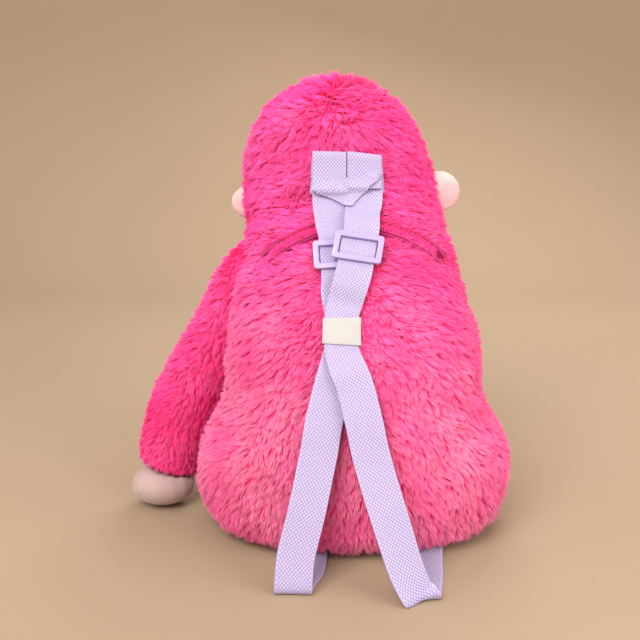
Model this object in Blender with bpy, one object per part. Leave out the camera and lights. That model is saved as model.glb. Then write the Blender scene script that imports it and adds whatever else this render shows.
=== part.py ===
"""Plush ape backpack: a furry sitting ape whose body is a zipped bag, with webbing straps on its back.

The ape faces +Y, so its back, with the zip and the straps, faces -Y. It sits on the plane z = 0, and the origin
is the middle of the flat seat. Left and right are the ape's own, so left is -X. Everything is in metres.
"""

import math
import random

import bmesh
import bpy
import numpy as np
from mathutils import Matrix, Vector

# The stuffed form, measured over the tips of the pile
TOY_HEIGHT = 0.333
SHOULDER_HEIGHT = 0.200
HIP_WIDTH = 0.2355
BACK_REACH = 0.092
BELLY_REACH = 0.088
HEAD_WIDTH = 0.149
HEAD_DEPTH = 0.116
HEAD_FORWARD = 0.055
HEAD_LEAN = 0.0135
ROUNDNESS = 2.25

# The pile: locks of fibre that stand on the fabric skin and lie down the body
PILE = 0.0055
PRESSED_PILE = 0.0022
LOCK_COLUMNS = 35
LOCK_ROWS = 26
LOCK_DROOP = 0.36
LIMB_LOCK_SIZE = 0.0195

# The seam between body and head, and the compartment in the body
NECK_HEIGHT = 0.222
NECK_SLOPE = 0.30
ROOF = 0.007
SEAT_PADDING = 0.012
SIDE_PADDING = 0.012
BACK_PADDING = 0.0075
BELLY_STUFFING = 0.045

# The zip, an arc across the upper back
ZIP_TOP = 0.2275
ZIP_SPAN = 0.130
ZIP_RISE = 0.0265
ZIP_SHIFT = -0.001
ZIP_SLOT = 0.0095
ZIP_SINK = 0.0012
TAPE_THICKNESS = 0.0009
TEETH_WIDTH = 0.0034
TEETH_THICKNESS = 0.0018
TOOTH_PITCH = 0.0036

# The limbs
ARM_THICKNESS = 0.063
LEG_THICKNESS = 0.064
EAR_THICKNESS = 0.011
EAR_WIDTH = 0.034
FACE_THICKNESS = 0.0035
MUZZLE_REACH = 0.021
EYE_WIDTH = 0.011
EYE_REACH = 0.0085
SUNK_BASE = -0.0016

# The webbing and what is on it
WEB_WIDTH = 0.0245
WEB_THICKNESS = 0.0014
STRAP_SLACK = 0.045
STRAP_SEAM_HEIGHT = 0.0045
PATCH_LENGTH = 0.052
LOOP_HANG = 0.040
GLIDE_WIDTH = 0.0335
GLIDE_LENGTH = 0.0210
GLIDE_BAR = 0.0038
GLIDE_THICKNESS = 0.0026
BAR_THICKNESS = 0.0017
BAND_LENGTH = 0.0185
BAND_WALL = 0.0005
STEPS_PER_ROW = 3

# Clearances
GAP = 0.0003
FUR_GAP = 0.0006

PINK_FUR = ("pink_fur", (0.93, 0.16, 0.38), 0.95)
PALE_VELBOA = ("pale_velboa", (0.90, 0.66, 0.64), 0.90)
LAVENDER_WEB = ("lavender_web", (0.72, 0.60, 0.90), 0.70)
LAVENDER_PLASTIC = ("lavender_plastic", (0.68, 0.57, 0.93), 0.30)
ZIP_PINK = ("zip_pink", (0.86, 0.10, 0.33), 0.55)
WHITE_PAPER = ("white_paper", (0.93, 0.88, 0.84), 0.80)
BLACK_PLASTIC = ("black_plastic", (0.02, 0.02, 0.02), 0.15)

# Outline of the body: rows from the seat up.
# Columns: height by SHOULDER_HEIGHT, half width by half HIP_WIDTH, back by BACK_REACH, belly by BELLY_REACH,
# and lean by HEAD_LEAN.
BODY_OUTLINE = (
    (0.000, 0.700, 0.520, 0.620, 0.00),
    (0.024, 0.865, 0.760, 0.820, 0.00),
    (0.080, 0.948, 0.900, 0.940, 0.00),
    (0.175, 0.995, 0.980, 0.990, 0.00),
    (0.275, 1.000, 1.000, 1.000, 0.00),
    (0.350, 0.962, 1.000, 1.000, 0.00),
    (0.430, 0.882, 0.985, 0.990, 0.00),
    (0.510, 0.830, 0.957, 0.975, 0.00),
    (0.625, 0.808, 0.890, 0.955, 0.00),
    (0.750, 0.782, 0.785, 0.930, 0.08),
    (0.875, 0.731, 0.652, 0.920, 0.20),
    (0.975, 0.688, 0.533, 0.930, 0.28),
)
# Outline of the head: rows from the shoulders to just under the crown.
# Columns: height by the head's own height, half width by half HEAD_WIDTH, back and face by half HEAD_DEPTH from
# HEAD_FORWARD, and lean by HEAD_LEAN.
HEAD_OUTLINE = (
    (0.090, 1.030, 1.600, 0.550, 0.38),
    (0.210, 0.995, 1.380, 0.690, 0.50),
    (0.316, 0.987, 1.162, 0.790, 0.65),
    (0.414, 0.985, 1.050, 0.930, 0.75),
    (0.526, 0.955, 1.000, 1.000, 0.88),
    (0.639, 0.890, 0.965, 1.000, 1.00),
    (0.737, 0.805, 0.900, 0.940, 1.00),
    (0.827, 0.685, 0.780, 0.820, 1.00),
    (0.902, 0.530, 0.600, 0.630, 1.00),
    (0.962, 0.345, 0.385, 0.400, 1.00),
    (0.992, 0.150, 0.170, 0.170, 1.00),
)
# Limbs: rows from the root, inside the body, to the cuff.
# Columns: side by half HIP_WIDTH, forward by BELLY_REACH, height by SHOULDER_HEIGHT, and radius by half the
# limb's thickness.
LEFT_ARM = (
    (-0.560, 0.340, 1.015, 0.78),
    (-0.645, 0.350, 0.860, 0.94),
    (-0.790, 0.375, 0.700, 0.99),
    (-0.977, 0.398, 0.530, 1.00),
    (-1.104, 0.420, 0.380, 1.00),
    (-1.185, 0.390, 0.250, 0.93),
    (-1.262, 0.340, 0.135, 0.75),
)
RIGHT_ARM = (
    (0.490, 0.480, 0.990, 0.78),
    (0.505, 0.790, 0.860, 0.90),
    (0.520, 1.010, 0.710, 0.93),
    (0.490, 1.190, 0.560, 0.89),
    (0.460, 1.290, 0.455, 0.75),
)
LEG = (
    (0.470, 0.450, 0.170, 0.94),
    (0.527, 0.800, 0.165, 1.00),
    (0.578, 1.110, 0.160, 0.98),
    (0.603, 1.300, 0.155, 0.88),
)
# Hands and feet: centre by the same sizes as the limbs, then half sizes by half the limb's thickness.
LEFT_HAND = ((-1.265, 0.300, 0.084), (0.85, 0.79, 0.55))
RIGHT_HAND = ((0.440, 1.365, 0.400), (0.72, 0.79, 0.51))
FOOT = ((0.610, 1.380, 0.148), (0.77, 0.48, 0.93))
# Ears: forward of HEAD_FORWARD by half HEAD_DEPTH, height by TOY_HEIGHT, half height by half EAR_WIDTH.
LEFT_EAR = (0.21, 0.707, 0.76)
RIGHT_EAR = (-0.12, 0.736, 0.96)
# Pads of the face: side by half HEAD_WIDTH, height by TOY_HEIGHT, half width and half height by half HEAD_WIDTH.
FACE_PATCH = (0.00, 0.822, 0.600, 0.500)
MUZZLE = (0.00, 0.792, 0.480, 0.255)
EYE_SIDE = 0.215
EYE_HEIGHT = 0.893

# Straps, from under the grab loop down the back, out over the floor fold.
# Columns: height by TOY_HEIGHT, side by half HIP_WIDTH, layers of webbing beneath, stand-off by STRAP_SLACK,
# turn about the vertical in degrees, and width by WEB_WIDTH.
LEFT_STRAP = (
    (0.799, -0.156, 1.00, 0.000, 0, 1.00),
    (0.754, -0.155, 1.00, 0.000, 0, 1.00),
    (0.739, -0.154, 1.00, 0.000, 0, 1.00),
    (0.721, -0.153, 0.35, 0.000, 0, 1.00),
    (0.700, -0.144, 0.00, 0.000, 0, 1.00),
    (0.617, -0.108, 0.0, 0.000, 0, 1.00),
    (0.555, -0.104, 0.0, 0.000, 0, 1.00),
    (0.511, -0.089, 0.0, 0.000, 0, 0.93),
    (0.478, -0.090, 0.0, 0.000, 0, 0.92),
    (0.444, -0.093, 0.0, 0.010, 0, 0.94),
    (0.402, -0.122, 0.0, 0.110, 0, 1.00),
    (0.330, -0.179, 0.0, 0.170, 0, 1.00),
    (0.237, -0.234, 0.0, 0.290, 0, 1.00),
    (0.144, -0.293, 0.0, 0.500, -1, 1.00),
    (0.075, -0.343, 0.0, 0.660, -2, 1.00),
    (0.027, -0.357, 0.0, 0.780, -2, 1.00),
    (0.008, -0.360, 0.0, 0.800, -2, 1.00),
)
RIGHT_STRAP = (
    (0.799, 0.060, 1.00, 0.000, 0, 1.00),
    (0.754, 0.059, 1.00, 0.000, 0, 1.00),
    (0.739, 0.059, 1.05, 0.000, 0, 1.00),
    (0.721, 0.056, 1.45, 0.000, 0, 1.00),
    (0.700, 0.040, 1.20, 0.000, 0, 1.00),
    (0.622, 0.005, 1.0, 0.000, 0, 1.00),
    (0.567, -0.038, 1.40, 0.000, 0, 1.00),
    (0.511, -0.087, 1.26, 0.000, 0, 0.93),
    (0.478, -0.090, 1.18, 0.000, 0, 0.92),
    (0.444, -0.090, 1.18, 0.010, 0, 0.94),
    (0.412, -0.060, 1.18, 0.150, 0, 1.00),
    (0.375, -0.017, 1.0, 0.187, 0, 1.00),
    (0.333, 0.015, 1.0, 0.233, 1, 1.00),
    (0.242, 0.084, 1.0, 0.355, 3, 1.00),
    (0.152, 0.164, 1.0, 0.590, 8, 1.00),
    (0.062, 0.250, 1.0, 0.830, 19, 1.00),
    (0.022, 0.305, 1.0, 0.945, 26, 1.00),
    (0.008, 0.335, 1.0, 0.960, 28, 1.00),
)
# The straps' run back along the floor to the seam under the body.
# Columns: way from fold to seam, side by half HIP_WIDTH, height from webbing on the floor to the seam, turn.
LEFT_RETURN = (
    (0.06, -0.360, 0.00, -2),
    (0.22, -0.345, 0.00, 0),
    (0.45, -0.300, 0.08, 4),
    (0.75, -0.277, 0.45, 2),
    (1.00, -0.272, 1.00, 0),
)
RIGHT_RETURN = (
    (0.05, 0.340, 0.00, 28),
    (0.20, 0.352, 0.00, 20),
    (0.45, 0.380, 0.08, 10),
    (0.75, 0.402, 0.45, 3),
    (1.00, 0.420, 1.00, 0),
)
# The rows of both straps where a glide and the band hold them.
GLIDE_ROW = 5
BAND_ROW = 8


def clear_scene():
    for item in list(bpy.data.objects):
        bpy.data.objects.remove(item, do_unlink=True)


def finish(name, colour, roughness):
    found = bpy.data.materials.get(name)
    if found:
        return found
    made = bpy.data.materials.new(name)
    made.use_nodes = True
    shader = made.node_tree.nodes["Principled BSDF"]
    shader.inputs["Base Color"].default_value = (*colour, 1.0)
    shader.inputs["Roughness"].default_value = roughness
    shader.inputs["Metallic"].default_value = 0.0
    made.diffuse_color = (*colour, 1.0)
    return made


def add_piece(name, shape, look):
    """A named object from a bmesh, with its faces pointing out."""
    bmesh.ops.recalc_face_normals(shape, faces=shape.faces)
    mesh = bpy.data.meshes.new(name)
    shape.to_mesh(mesh)
    shape.free()
    mesh.materials.append(finish(*look))
    piece = bpy.data.objects.new(name, mesh)
    bpy.context.scene.collection.objects.link(piece)
    return piece


def combine(piece, tool, operation="DIFFERENCE"):
    """Applies a Boolean of the piece with a tool, which is used up."""
    modifier = piece.modifiers.new("combine", "BOOLEAN")
    modifier.operation = operation
    modifier.object = tool
    graph = bpy.context.evaluated_depsgraph_get()
    result = bpy.data.meshes.new_from_object(piece.evaluated_get(graph))
    piece.modifiers.remove(modifier)
    look = piece.data.materials[0]
    piece.data = result
    result.materials.clear()
    result.materials.append(look)
    bpy.data.objects.remove(tool, do_unlink=True)


def grown(piece, by):
    """A copy of the piece's mesh with its surface moved out, to cut its neighbours with clearance."""
    shape = bmesh.new()
    shape.from_mesh(piece.data)
    shape.normal_update()
    for vert in shape.verts:
        vert.co += vert.normal * by * vert.calc_shell_factor()
    return add_piece("grown_" + piece.name, shape, PINK_FUR)


def seat_on(piece, *carriers):
    """Cuts away what would sink into the carriers, leaving the clearance between them."""
    for carrier in carriers:
        combine(piece, grown(carrier, 1.5 * GAP))


def cubic(knots, values, at):
    """Smooth curve through rows of values, with slopes from the neighbouring rows."""
    knots = np.asarray(knots, float)
    values = np.asarray(values, float)
    slopes = np.gradient(values, knots, axis=0)
    i = int(np.clip(np.searchsorted(knots, at) - 1, 0, len(knots) - 2))
    span = knots[i + 1] - knots[i]
    t = (at - knots[i]) / span
    start = values[i] * (1 + 2 * t) * (1 - t) ** 2 + slopes[i] * span * t * (1 - t) ** 2
    end = values[i + 1] * t * t * (3 - 2 * t) + slopes[i + 1] * span * t * t * (t - 1)
    return start + end


def power(value, exponent):
    return math.copysign(abs(value) ** exponent, value)


class Outline:
    """Stacked superelliptic sections of the whole toy, from seat to crown."""

    def __init__(self):
        rows = []
        for height, half, back, belly, lean in BODY_OUTLINE:
            rows.append((height * SHOULDER_HEIGHT, -lean * HEAD_LEAN, half * HIP_WIDTH / 2,
                         -back * BACK_REACH, belly * BELLY_REACH))
        for height, half, back, face, lean in HEAD_OUTLINE:
            rows.append((SHOULDER_HEIGHT + height * (TOY_HEIGHT - SHOULDER_HEIGHT), -lean * HEAD_LEAN,
                         half * HEAD_WIDTH / 2, HEAD_FORWARD - back * HEAD_DEPTH / 2,
                         HEAD_FORWARD + face * HEAD_DEPTH / 2))
        self.rows = np.array(rows)
        self.last = len(rows) - 1
        self.fine = np.linspace(0, self.last, 40 * self.last + 1)
        self.sections = np.array([cubic(range(self.last + 1), self.rows, k) for k in self.fine])

    def section(self, k):
        return cubic(range(self.last + 1), self.rows, k)

    def at_height(self, z):
        return [float(np.interp(z, self.sections[:, 0], self.sections[:, i])) for i in range(1, 5)]

    def even_rows(self, count):
        """Row positions that are the same distance apart along the surface."""
        steps = np.diff(self.sections, axis=0)
        length = np.hypot(np.hypot(steps[:, 0], steps[:, 2]), 0.5 * steps[:, 3])
        along = np.concatenate([[0], np.cumsum(length)])
        return np.interp(np.linspace(0, along[-1], count), along, self.fine)

    def tip(self, angle, k):
        z, centre, half, back, front = self.section(k)
        middle = (back + front) / 2
        x = centre + half * power(math.cos(angle), 2 / ROUNDNESS)
        y = middle + (front - back) / 2 * power(math.sin(angle), 2 / ROUNDNESS)
        return Vector((x, y, z))

    def normal(self, angle, k):
        side = self.tip(angle + 0.02, k) - self.tip(angle - 0.02, k)
        low, high = max(k - 0.04, 0), min(k + 0.04, self.last)
        return side.cross(self.tip(angle, high) - self.tip(angle, low)).normalized()

    def skin(self, angle, k):
        point = self.tip(angle, k) - self.normal(angle, k) * PILE
        if k == 0:
            point.z = 0
        return point

    def side_y(self, x, z, side):
        """Where the pile's tips lie at x and z, on the back for side -1 and on the front for side 1."""
        centre, half, back, front = self.at_height(z)
        away = min(abs(x - centre) / half, 0.999)
        reach = (front - back) / 2 * (1 - away ** ROUNDNESS) ** (1 / ROUNDNESS)
        return (back + front) / 2 + side * reach

    def slope(self, x, z, side):
        """Normal of the surface at x and z, on the back or the front."""
        step = 0.001
        dx = (self.side_y(x + step, z, side) - self.side_y(x - step, z, side)) / (2 * step)
        dz = (self.side_y(x, z + step, side) - self.side_y(x, z - step, side)) / (2 * step)
        return Vector((-dx * side, side, -dz * side)).normalized()

    def under_pile(self, x, z, side, depth=PILE):
        """The surface that lies this deep under the pile's tips."""
        normal = self.slope(x, z, side)
        return Vector((x, self.side_y(x, z, side), z)) - Vector((0, depth / normal.y, 0))

    def holds(self, point, margin):
        centre, half, back, front = self.at_height(point.z)
        across = abs(point.x - centre) / (half + margin)
        deep = abs(point.y - (back + front) / 2) / ((front - back) / 2 + margin)
        return across ** ROUNDNESS + deep ** ROUNDNESS < 1 and point.z < TOY_HEIGHT + margin


OUTLINE = Outline()


def body_place(side, forward, height):
    return Vector((side * HIP_WIDTH / 2, forward * BELLY_REACH, height * SHOULDER_HEIGHT))


class Limb:
    """A bent tube from a table of centres and radii."""

    def __init__(self, table, thickness, mirror=1):
        self.centres = [body_place(side * mirror, forward, height) for side, forward, height, _ in table]
        self.radii = [row[3] * thickness / 2 for row in table]
        steps = [(b - a).length for a, b in zip(self.centres, self.centres[1:])]
        self.knots = np.concatenate([[0], np.cumsum(steps)])
        self.length = float(self.knots[-1])

    def centre(self, along):
        return Vector(cubic(self.knots, self.centres, along))

    def ring(self, along):
        """Centre, two directions across and the radius."""
        step = 0.02 * self.length
        tangent = (self.centre(min(along + step, self.length)) - self.centre(max(along - step, 0))).normalized()
        first = tangent.cross(Vector((0, 1, 0.2))).normalized()
        return self.centre(along), first, tangent.cross(first), float(cubic(self.knots, self.radii, along))

    def covers(self, point, margin):
        for along in np.linspace(0, 0.6 * self.length, 12):
            radius = float(cubic(self.knots, self.radii, along))
            if (self.centre(along) - point).length < radius + margin:
                return True
        return False


ARMS = {"left": Limb(LEFT_ARM, ARM_THICKNESS), "right": Limb(RIGHT_ARM, ARM_THICKNESS)}
LEGS = {"left": Limb(LEG, LEG_THICKNESS, -1), "right": Limb(LEG, LEG_THICKNESS, 1)}


def ear_place(side, forward, height):
    """Centre of an ear, on the side of the head."""
    z = height * TOY_HEIGHT
    centre, half, back, front = OUTLINE.at_height(z)
    y = HEAD_FORWARD + forward * HEAD_DEPTH / 2
    away = abs(y - (back + front) / 2) / ((front - back) / 2)
    reach = half * (1 - away ** ROUNDNESS) ** (1 / ROUNDNESS)
    return Vector((centre + side * (reach + 0.05 * EAR_WIDTH), y, z))


EARS = {"left": ear_place(-1, *LEFT_EAR[:2]), "right": ear_place(1, *RIGHT_EAR[:2])}
EAR_HEIGHTS = {"left": LEFT_EAR[2] * EAR_WIDTH / 2, "right": RIGHT_EAR[2] * EAR_WIDTH / 2}


def zip_arc(share):
    """A point of the zip's middle line and the direction out of the arc, in the X-Z plane."""
    radius = ((ZIP_SPAN / 2) ** 2 + ZIP_RISE**2) / (2 * ZIP_RISE)
    angle = share * math.asin(min(ZIP_SPAN / 2 / radius, 1))
    out = Vector((math.sin(angle), 0, math.cos(angle)))
    return Vector((ZIP_SHIFT, 0, ZIP_TOP - radius)) + out * radius, out


def zip_distance(point):
    spots = (zip_arc(share)[0] for share in np.linspace(-1, 1, 33))
    return min(math.hypot(point.x - spot.x, point.z - spot.z) for spot in spots)


def face_pad(pad):
    """Centre and half sizes of a pad on the face."""
    side, height, half_width, half_height = pad
    centre = OUTLINE.at_height(height * TOY_HEIGHT)[0]
    half = HEAD_WIDTH / 2
    return centre + side * half, height * TOY_HEIGHT, half_width * half, half_height * half


def lock_share(point):
    """How far the pile stands up here: fully, pressed flat by webbing, or not at all at a seam."""
    centre, _, back, front = OUTLINE.at_height(point.z)
    behind = point.y < (back + front) / 2
    margin = 0.004
    if any(limb.covers(point, margin) for limb in (*ARMS.values(), *LEGS.values())):
        return 0
    if any((EARS[side] - point).length < EAR_HEIGHTS[side] + margin for side in EARS):
        return 0
    x, z, half_width, half_height = face_pad(FACE_PATCH)
    if not behind and math.hypot((point.x - x) / half_width, (point.z - z) / half_height) < 1.28:
        return 0
    if behind and zip_distance(point) < ZIP_SLOT / 2 + margin:
        return 0
    if behind and point.z < 2.5 * STRAP_SEAM_HEIGHT and abs(point.x) < 0.3 * HIP_WIDTH:
        return 0
    webbed = (LEFT_STRAP[BAND_ROW][0] - 0.06) * TOY_HEIGHT < point.z < RIGHT_STRAP[0][0] * TOY_HEIGHT + 0.9 * WEB_WIDTH
    if behind and webbed and abs(point.x - centre) < 1.5 * WEB_WIDTH:
        return PRESSED_PILE / PILE
    return 1


def piled_skin(grid, apexes, cap_start, cap_end):
    """A closed skin through rings of points. Each cell rises to a lock's tip, and each end is a cap or a pole."""
    shape = bmesh.new()
    rings = [[shape.verts.new(point) for point in ring] for ring in grid]
    columns = len(rings[0])
    for j in range(len(rings) - 1):
        for i in range(columns):
            after = (i + 1) % columns
            corners = (rings[j][i], rings[j][after], rings[j + 1][after], rings[j + 1][i])
            top = shape.verts.new(apexes[j][i])
            for a, b in zip(corners, corners[1:] + corners[:1]):
                shape.faces.new((a, b, top))
    for ring, pole in ((rings[0], cap_start), (rings[-1], cap_end)):
        if pole is None:
            shape.faces.new(ring)
            continue
        tip = shape.verts.new(pole)
        for a, b in zip(ring, ring[1:] + ring[:1]):
            shape.faces.new((a, b, tip))
    return shape


def toy_skin():
    """The whole furry body and head as one skin, before the neck seam parts them."""
    draw = random.Random(7)
    rows = OUTLINE.even_rows(LOCK_ROWS)
    turn = 2 * math.pi / LOCK_COLUMNS
    grid = []
    for j, k in enumerate(rows):
        angles = [turn * (i + 0.5 * (j % 2)) for i in range(LOCK_COLUMNS)]
        grid.append([OUTLINE.skin(angle, k) for angle in angles])
    apexes = []
    for j in range(LOCK_ROWS - 1):
        k = (rows[j] + rows[j + 1]) / 2
        low_k = k + LOCK_DROOP * (rows[j] - rows[j + 1])
        line = []
        crowding = min(1, OUTLINE.section(k)[2] / (0.3 * HEAD_WIDTH))
        for i in range(LOCK_COLUMNS):
            angle = turn * (i + 0.75)
            base = OUTLINE.skin(angle, k)
            share = lock_share(base) * crowding
            if share:
                base = OUTLINE.skin(angle, low_k)
            height = PILE * share * draw.uniform(0.80, 1.0)
            top = base + OUTLINE.normal(angle, low_k) * height
            top.z = max(top.z, 0.15 * PILE)
            line.append(top)
        apexes.append(line)
    z, centre, _, back, front = OUTLINE.section(OUTLINE.last)
    crown = Vector((centre, (back + front) / 2, TOY_HEIGHT - 0.4 * PILE))
    return add_piece("toy_skin", piled_skin(grid, apexes, None, crown), PINK_FUR)


def neck_cut(shape, keep_above, shift):
    """Cuts a bmesh along the neck's seam plane, moved along its normal, and closes it there."""
    normal = Vector((0, NECK_SLOPE, 1)).normalized()
    place = Vector((0, HEAD_FORWARD, NECK_HEIGHT)) + normal * shift
    everything = list(shape.verts) + list(shape.edges) + list(shape.faces)
    cut = bmesh.ops.bisect_plane(shape, geom=everything, dist=1e-7, plane_co=place, plane_no=normal,
                                 clear_inner=keep_above, clear_outer=not keep_above)
    edges = [part for part in cut["geom_cut"] if isinstance(part, bmesh.types.BMEdge)]
    bmesh.ops.edgeloop_fill(shape, edges=edges)
    return shape


def compartment():
    """The hollow inside the body: the outline drawn in by the padding, under the neck seam."""
    shape = bmesh.new()
    rings = []
    top = NECK_HEIGHT + NECK_SLOPE * (HEAD_FORWARD + BACK_REACH)
    for z in np.linspace(SEAT_PADDING, top, 10):
        centre, half, back, front = OUTLINE.at_height(z)
        half -= PILE + SIDE_PADDING
        back += PILE + BACK_PADDING
        front -= PILE + BELLY_STUFFING
        ring = []
        for i in range(18):
            angle = 2 * math.pi * (i + 0.5) / 18
            x = centre + half * power(math.cos(angle), 2 / ROUNDNESS)
            y = (back + front) / 2 + (front - back) / 2 * power(math.sin(angle), 2 / ROUNDNESS)
            ring.append(shape.verts.new((x, y, z)))
        rings.append(ring)
    for low, high in zip(rings, rings[1:]):
        for i in range(18):
            after = (i + 1) % 18
            shape.faces.new((low[i], low[after], high[after], high[i]))
    shape.faces.new(rings[0])
    shape.faces.new(rings[-1])
    return add_piece("compartment", neck_cut(shape, False, -ROOF), PINK_FUR)


def zip_slot():
    """The slot that the zip closes, cut straight in from the back."""
    shape = bmesh.new()
    outer, inner = -2 * BACK_REACH, HEAD_FORWARD - HEAD_DEPTH / 2 + BACK_PADDING
    rings = []
    for share in np.linspace(-1, 1, 25):
        middle, out = zip_arc(share)
        ring = []
        for y, rise in ((outer, -1), (inner, -1), (inner, 1), (outer, 1)):
            corner = middle + out * rise * ZIP_SLOT / 2
            ring.append(shape.verts.new((corner.x, y, corner.z)))
        rings.append(ring)
    for a, b in zip(rings, rings[1:]):
        for i in range(4):
            shape.faces.new((a[i], a[(i + 1) % 4], b[(i + 1) % 4], b[i]))
    shape.faces.new(rings[0])
    shape.faces.new(rings[-1])
    return add_piece("zip_slot", shape, PINK_FUR)


def limb_piece(name, limb):
    """A furry limb, smooth where it lies in or against the body."""
    draw = random.Random(len(name))
    columns = max(10, round(2 * math.pi * max(limb.radii) / LIMB_LOCK_SIZE))
    rows = max(6, round(limb.length / LIMB_LOCK_SIZE)) + 1
    grid, apexes = [], []

    def skin(turns, along):
        centre, first, second, radius = limb.ring(along)
        out = first * math.cos(2 * math.pi * turns) + second * math.sin(2 * math.pi * turns)
        return centre + out * (radius - PILE), out

    alongs = np.linspace(0, limb.length, rows)
    for j, along in enumerate(alongs):
        grid.append([skin((i + 0.5 * (j % 2)) / columns, along)[0] for i in range(columns)])
    for j in range(rows - 1):
        line = []
        for i in range(columns):
            along = alongs[j] + (0.5 + LOCK_DROOP) * (alongs[j + 1] - alongs[j])
            base, out = skin((i + 0.75) / columns, along)
            share = 0 if OUTLINE.holds(base, 2 * PILE) else draw.uniform(0.80, 1.0)
            line.append(base + out * PILE * share)
        apexes.append(line)
    for ring in (*grid, *apexes):
        for point in ring:
            point.z = max(point.z, 0)
    return add_piece(name, piled_skin(grid, apexes, None, None), PINK_FUR)


def paw(name, place, halves, thickness, mirror=1):
    """A stuffed hand or foot, flat where it rests on the floor."""
    shape = bmesh.new()
    bmesh.ops.create_uvsphere(shape, u_segments=14, v_segments=8, radius=1)
    side, forward, height = place
    centre = body_place(side * mirror, forward, height)
    for vert in shape.verts:
        half = Vector(halves) * thickness / 2
        vert.co = centre + Vector((vert.co.x * half.x, vert.co.y * half.y, vert.co.z * half.z))
        vert.co.z = max(vert.co.z, 0)
    bmesh.ops.dissolve_limit(shape, angle_limit=0.001, verts=shape.verts, edges=shape.edges)
    return add_piece(name, shape, PALE_VELBOA)


def ear(name, side):
    """A round stuffed ear, dished towards the face."""
    shape = bmesh.new()
    bmesh.ops.create_uvsphere(shape, u_segments=14, v_segments=8, radius=1)
    half_height = EAR_HEIGHTS[side]
    for vert in shape.verts:
        x, y, z = vert.co
        hollow = 0.55 * (1 - min(math.hypot(x, z) / 0.8, 1) ** 2) if y > 0 else 0
        vert.co = EARS[side] + Vector((x * EAR_WIDTH / 2, (y - hollow) * EAR_THICKNESS / 2, z * half_height))
    return add_piece(name, shape, PALE_VELBOA)


def face_piece(name, centre, half, heights, look, spokes=16, steps=4):
    """A domed pad that follows the front of the head, with its back, rim and middle this far off the fabric."""
    base, rim, rise = heights
    shape = bmesh.new()
    fronts, backs = [], []
    for ring in range(steps):
        share = math.sin(math.pi / 2 * (ring + 1) / steps)
        dome = rim + (rise - rim) * (1 - share**2.6) ** 0.6
        front, rear = [], []
        for i in range(spokes):
            angle = 2 * math.pi * i / spokes
            x = centre[0] + half[0] * share * math.cos(angle)
            z = centre[1] + half[1] * share * math.sin(angle)
            spot = OUTLINE.under_pile(x, z, 1)
            front.append(shape.verts.new(spot + Vector((0, dome, 0))))
            rear.append(shape.verts.new(spot + Vector((0, base, 0))))
        fronts.append(front)
        backs.append(rear)
    spot = OUTLINE.under_pile(centre[0], centre[1], 1)
    poles = (shape.verts.new(spot + Vector((0, rise, 0))), shape.verts.new(spot + Vector((0, base, 0))))
    for rings, pole in ((fronts, poles[0]), (backs, poles[1])):
        for i in range(spokes):
            after = (i + 1) % spokes
            shape.faces.new((rings[0][i], rings[0][after], pole))
            for a, b in zip(rings, rings[1:]):
                shape.faces.new((a[i], a[after], b[after], b[i]))
    for i in range(spokes):
        after = (i + 1) % spokes
        shape.faces.new((fronts[-1][i], fronts[-1][after], backs[-1][after], backs[-1][i]))
    return add_piece(name, shape, look)


def zip_ribbon(name, low, high, thickness, stations, ridge=0.0):
    """A strip along the zip's arc, between two distances from its middle line, just under the fabric's face."""
    shape = bmesh.new()
    rings = []
    for n, share in enumerate(np.linspace(-1, 1, stations)):
        middle, out = zip_arc(share * (1 - 2 * GAP / ZIP_SPAN))
        proud = ridge if n % 2 else 0
        ring = []
        for rise, deep in ((low, 0), (high, 0), (high, 1), (low, 1)):
            spot = middle + out * rise
            face = OUTLINE.under_pile(spot.x, spot.z, -1).y + ZIP_SINK
            y = face + deep * thickness - (1 - deep) * proud
            ring.append(shape.verts.new((spot.x, y, spot.z)))
        rings.append(ring)
    for a, b in zip(rings, rings[1:]):
        for i in range(4):
            shape.faces.new((a[i], a[(i + 1) % 4], b[(i + 1) % 4], b[i]))
    shape.faces.new(rings[0])
    shape.faces.new(rings[-1])
    return add_piece(name, shape, ZIP_PINK)


def zip_slider():
    """The slider's body at the closed end of the zip."""
    middle, out = zip_arc(0.93)
    tangent = Vector((out.z, 0, -out.x))
    shape = bmesh.new()
    # Columns: along the zip and out of the arc, each by TEETH_WIDTH.
    steps = ((-1.1, -0.45), (-1.1, 0.45), (1.1, 0.7), (1.1, -0.7))
    face = OUTLINE.under_pile(middle.x, middle.z, -1)
    normal = OUTLINE.slope(middle.x, middle.z, -1)
    across = (tangent - normal * tangent.dot(normal)).normalized()
    up = normal.cross(across)
    lifts = (TEETH_THICKNESS - ZIP_SINK, TEETH_THICKNESS * 2.2)
    rings = []
    for lift in lifts:
        ring = []
        for along, rise in steps:
            spot = face + (across * along + up * rise) * TEETH_WIDTH + normal * lift
            ring.append(shape.verts.new(spot))
        rings.append(ring)
    for i in range(4):
        shape.faces.new((rings[0][i], rings[0][(i + 1) % 4], rings[1][(i + 1) % 4], rings[1][i]))
    shape.faces.new(rings[0])
    shape.faces.new(rings[1])
    return add_piece("zip_slider", shape, ZIP_PINK)


def layer(count):
    """Distance from the pressed pile to the middle of webbing that lies on this many layers of it."""
    return FUR_GAP + WEB_THICKNESS / 2 + count * (WEB_THICKNESS + GAP)


def back_rest(x, z, half):
    """Where flat webbing of this half width rests on the pressed pile, and the direction off the back."""
    heights = [z] if z > 0.3 * TOY_HEIGHT else np.linspace(z, 0.3 * TOY_HEIGHT, 12)
    y = min(OUTLINE.side_y(x + step * half, h, -1) for step in (-1, -0.5, 0, 0.5, 1) for h in heights)
    normal = OUTLINE.slope(OUTLINE.at_height(z)[0], z, -1) if len(heights) == 1 else Vector((0, -1, 0))
    normal.x = 0
    normal.normalize()
    depth = PILE - PRESSED_PILE
    return Vector((x, y - depth / normal.y, z)), normal


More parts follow.
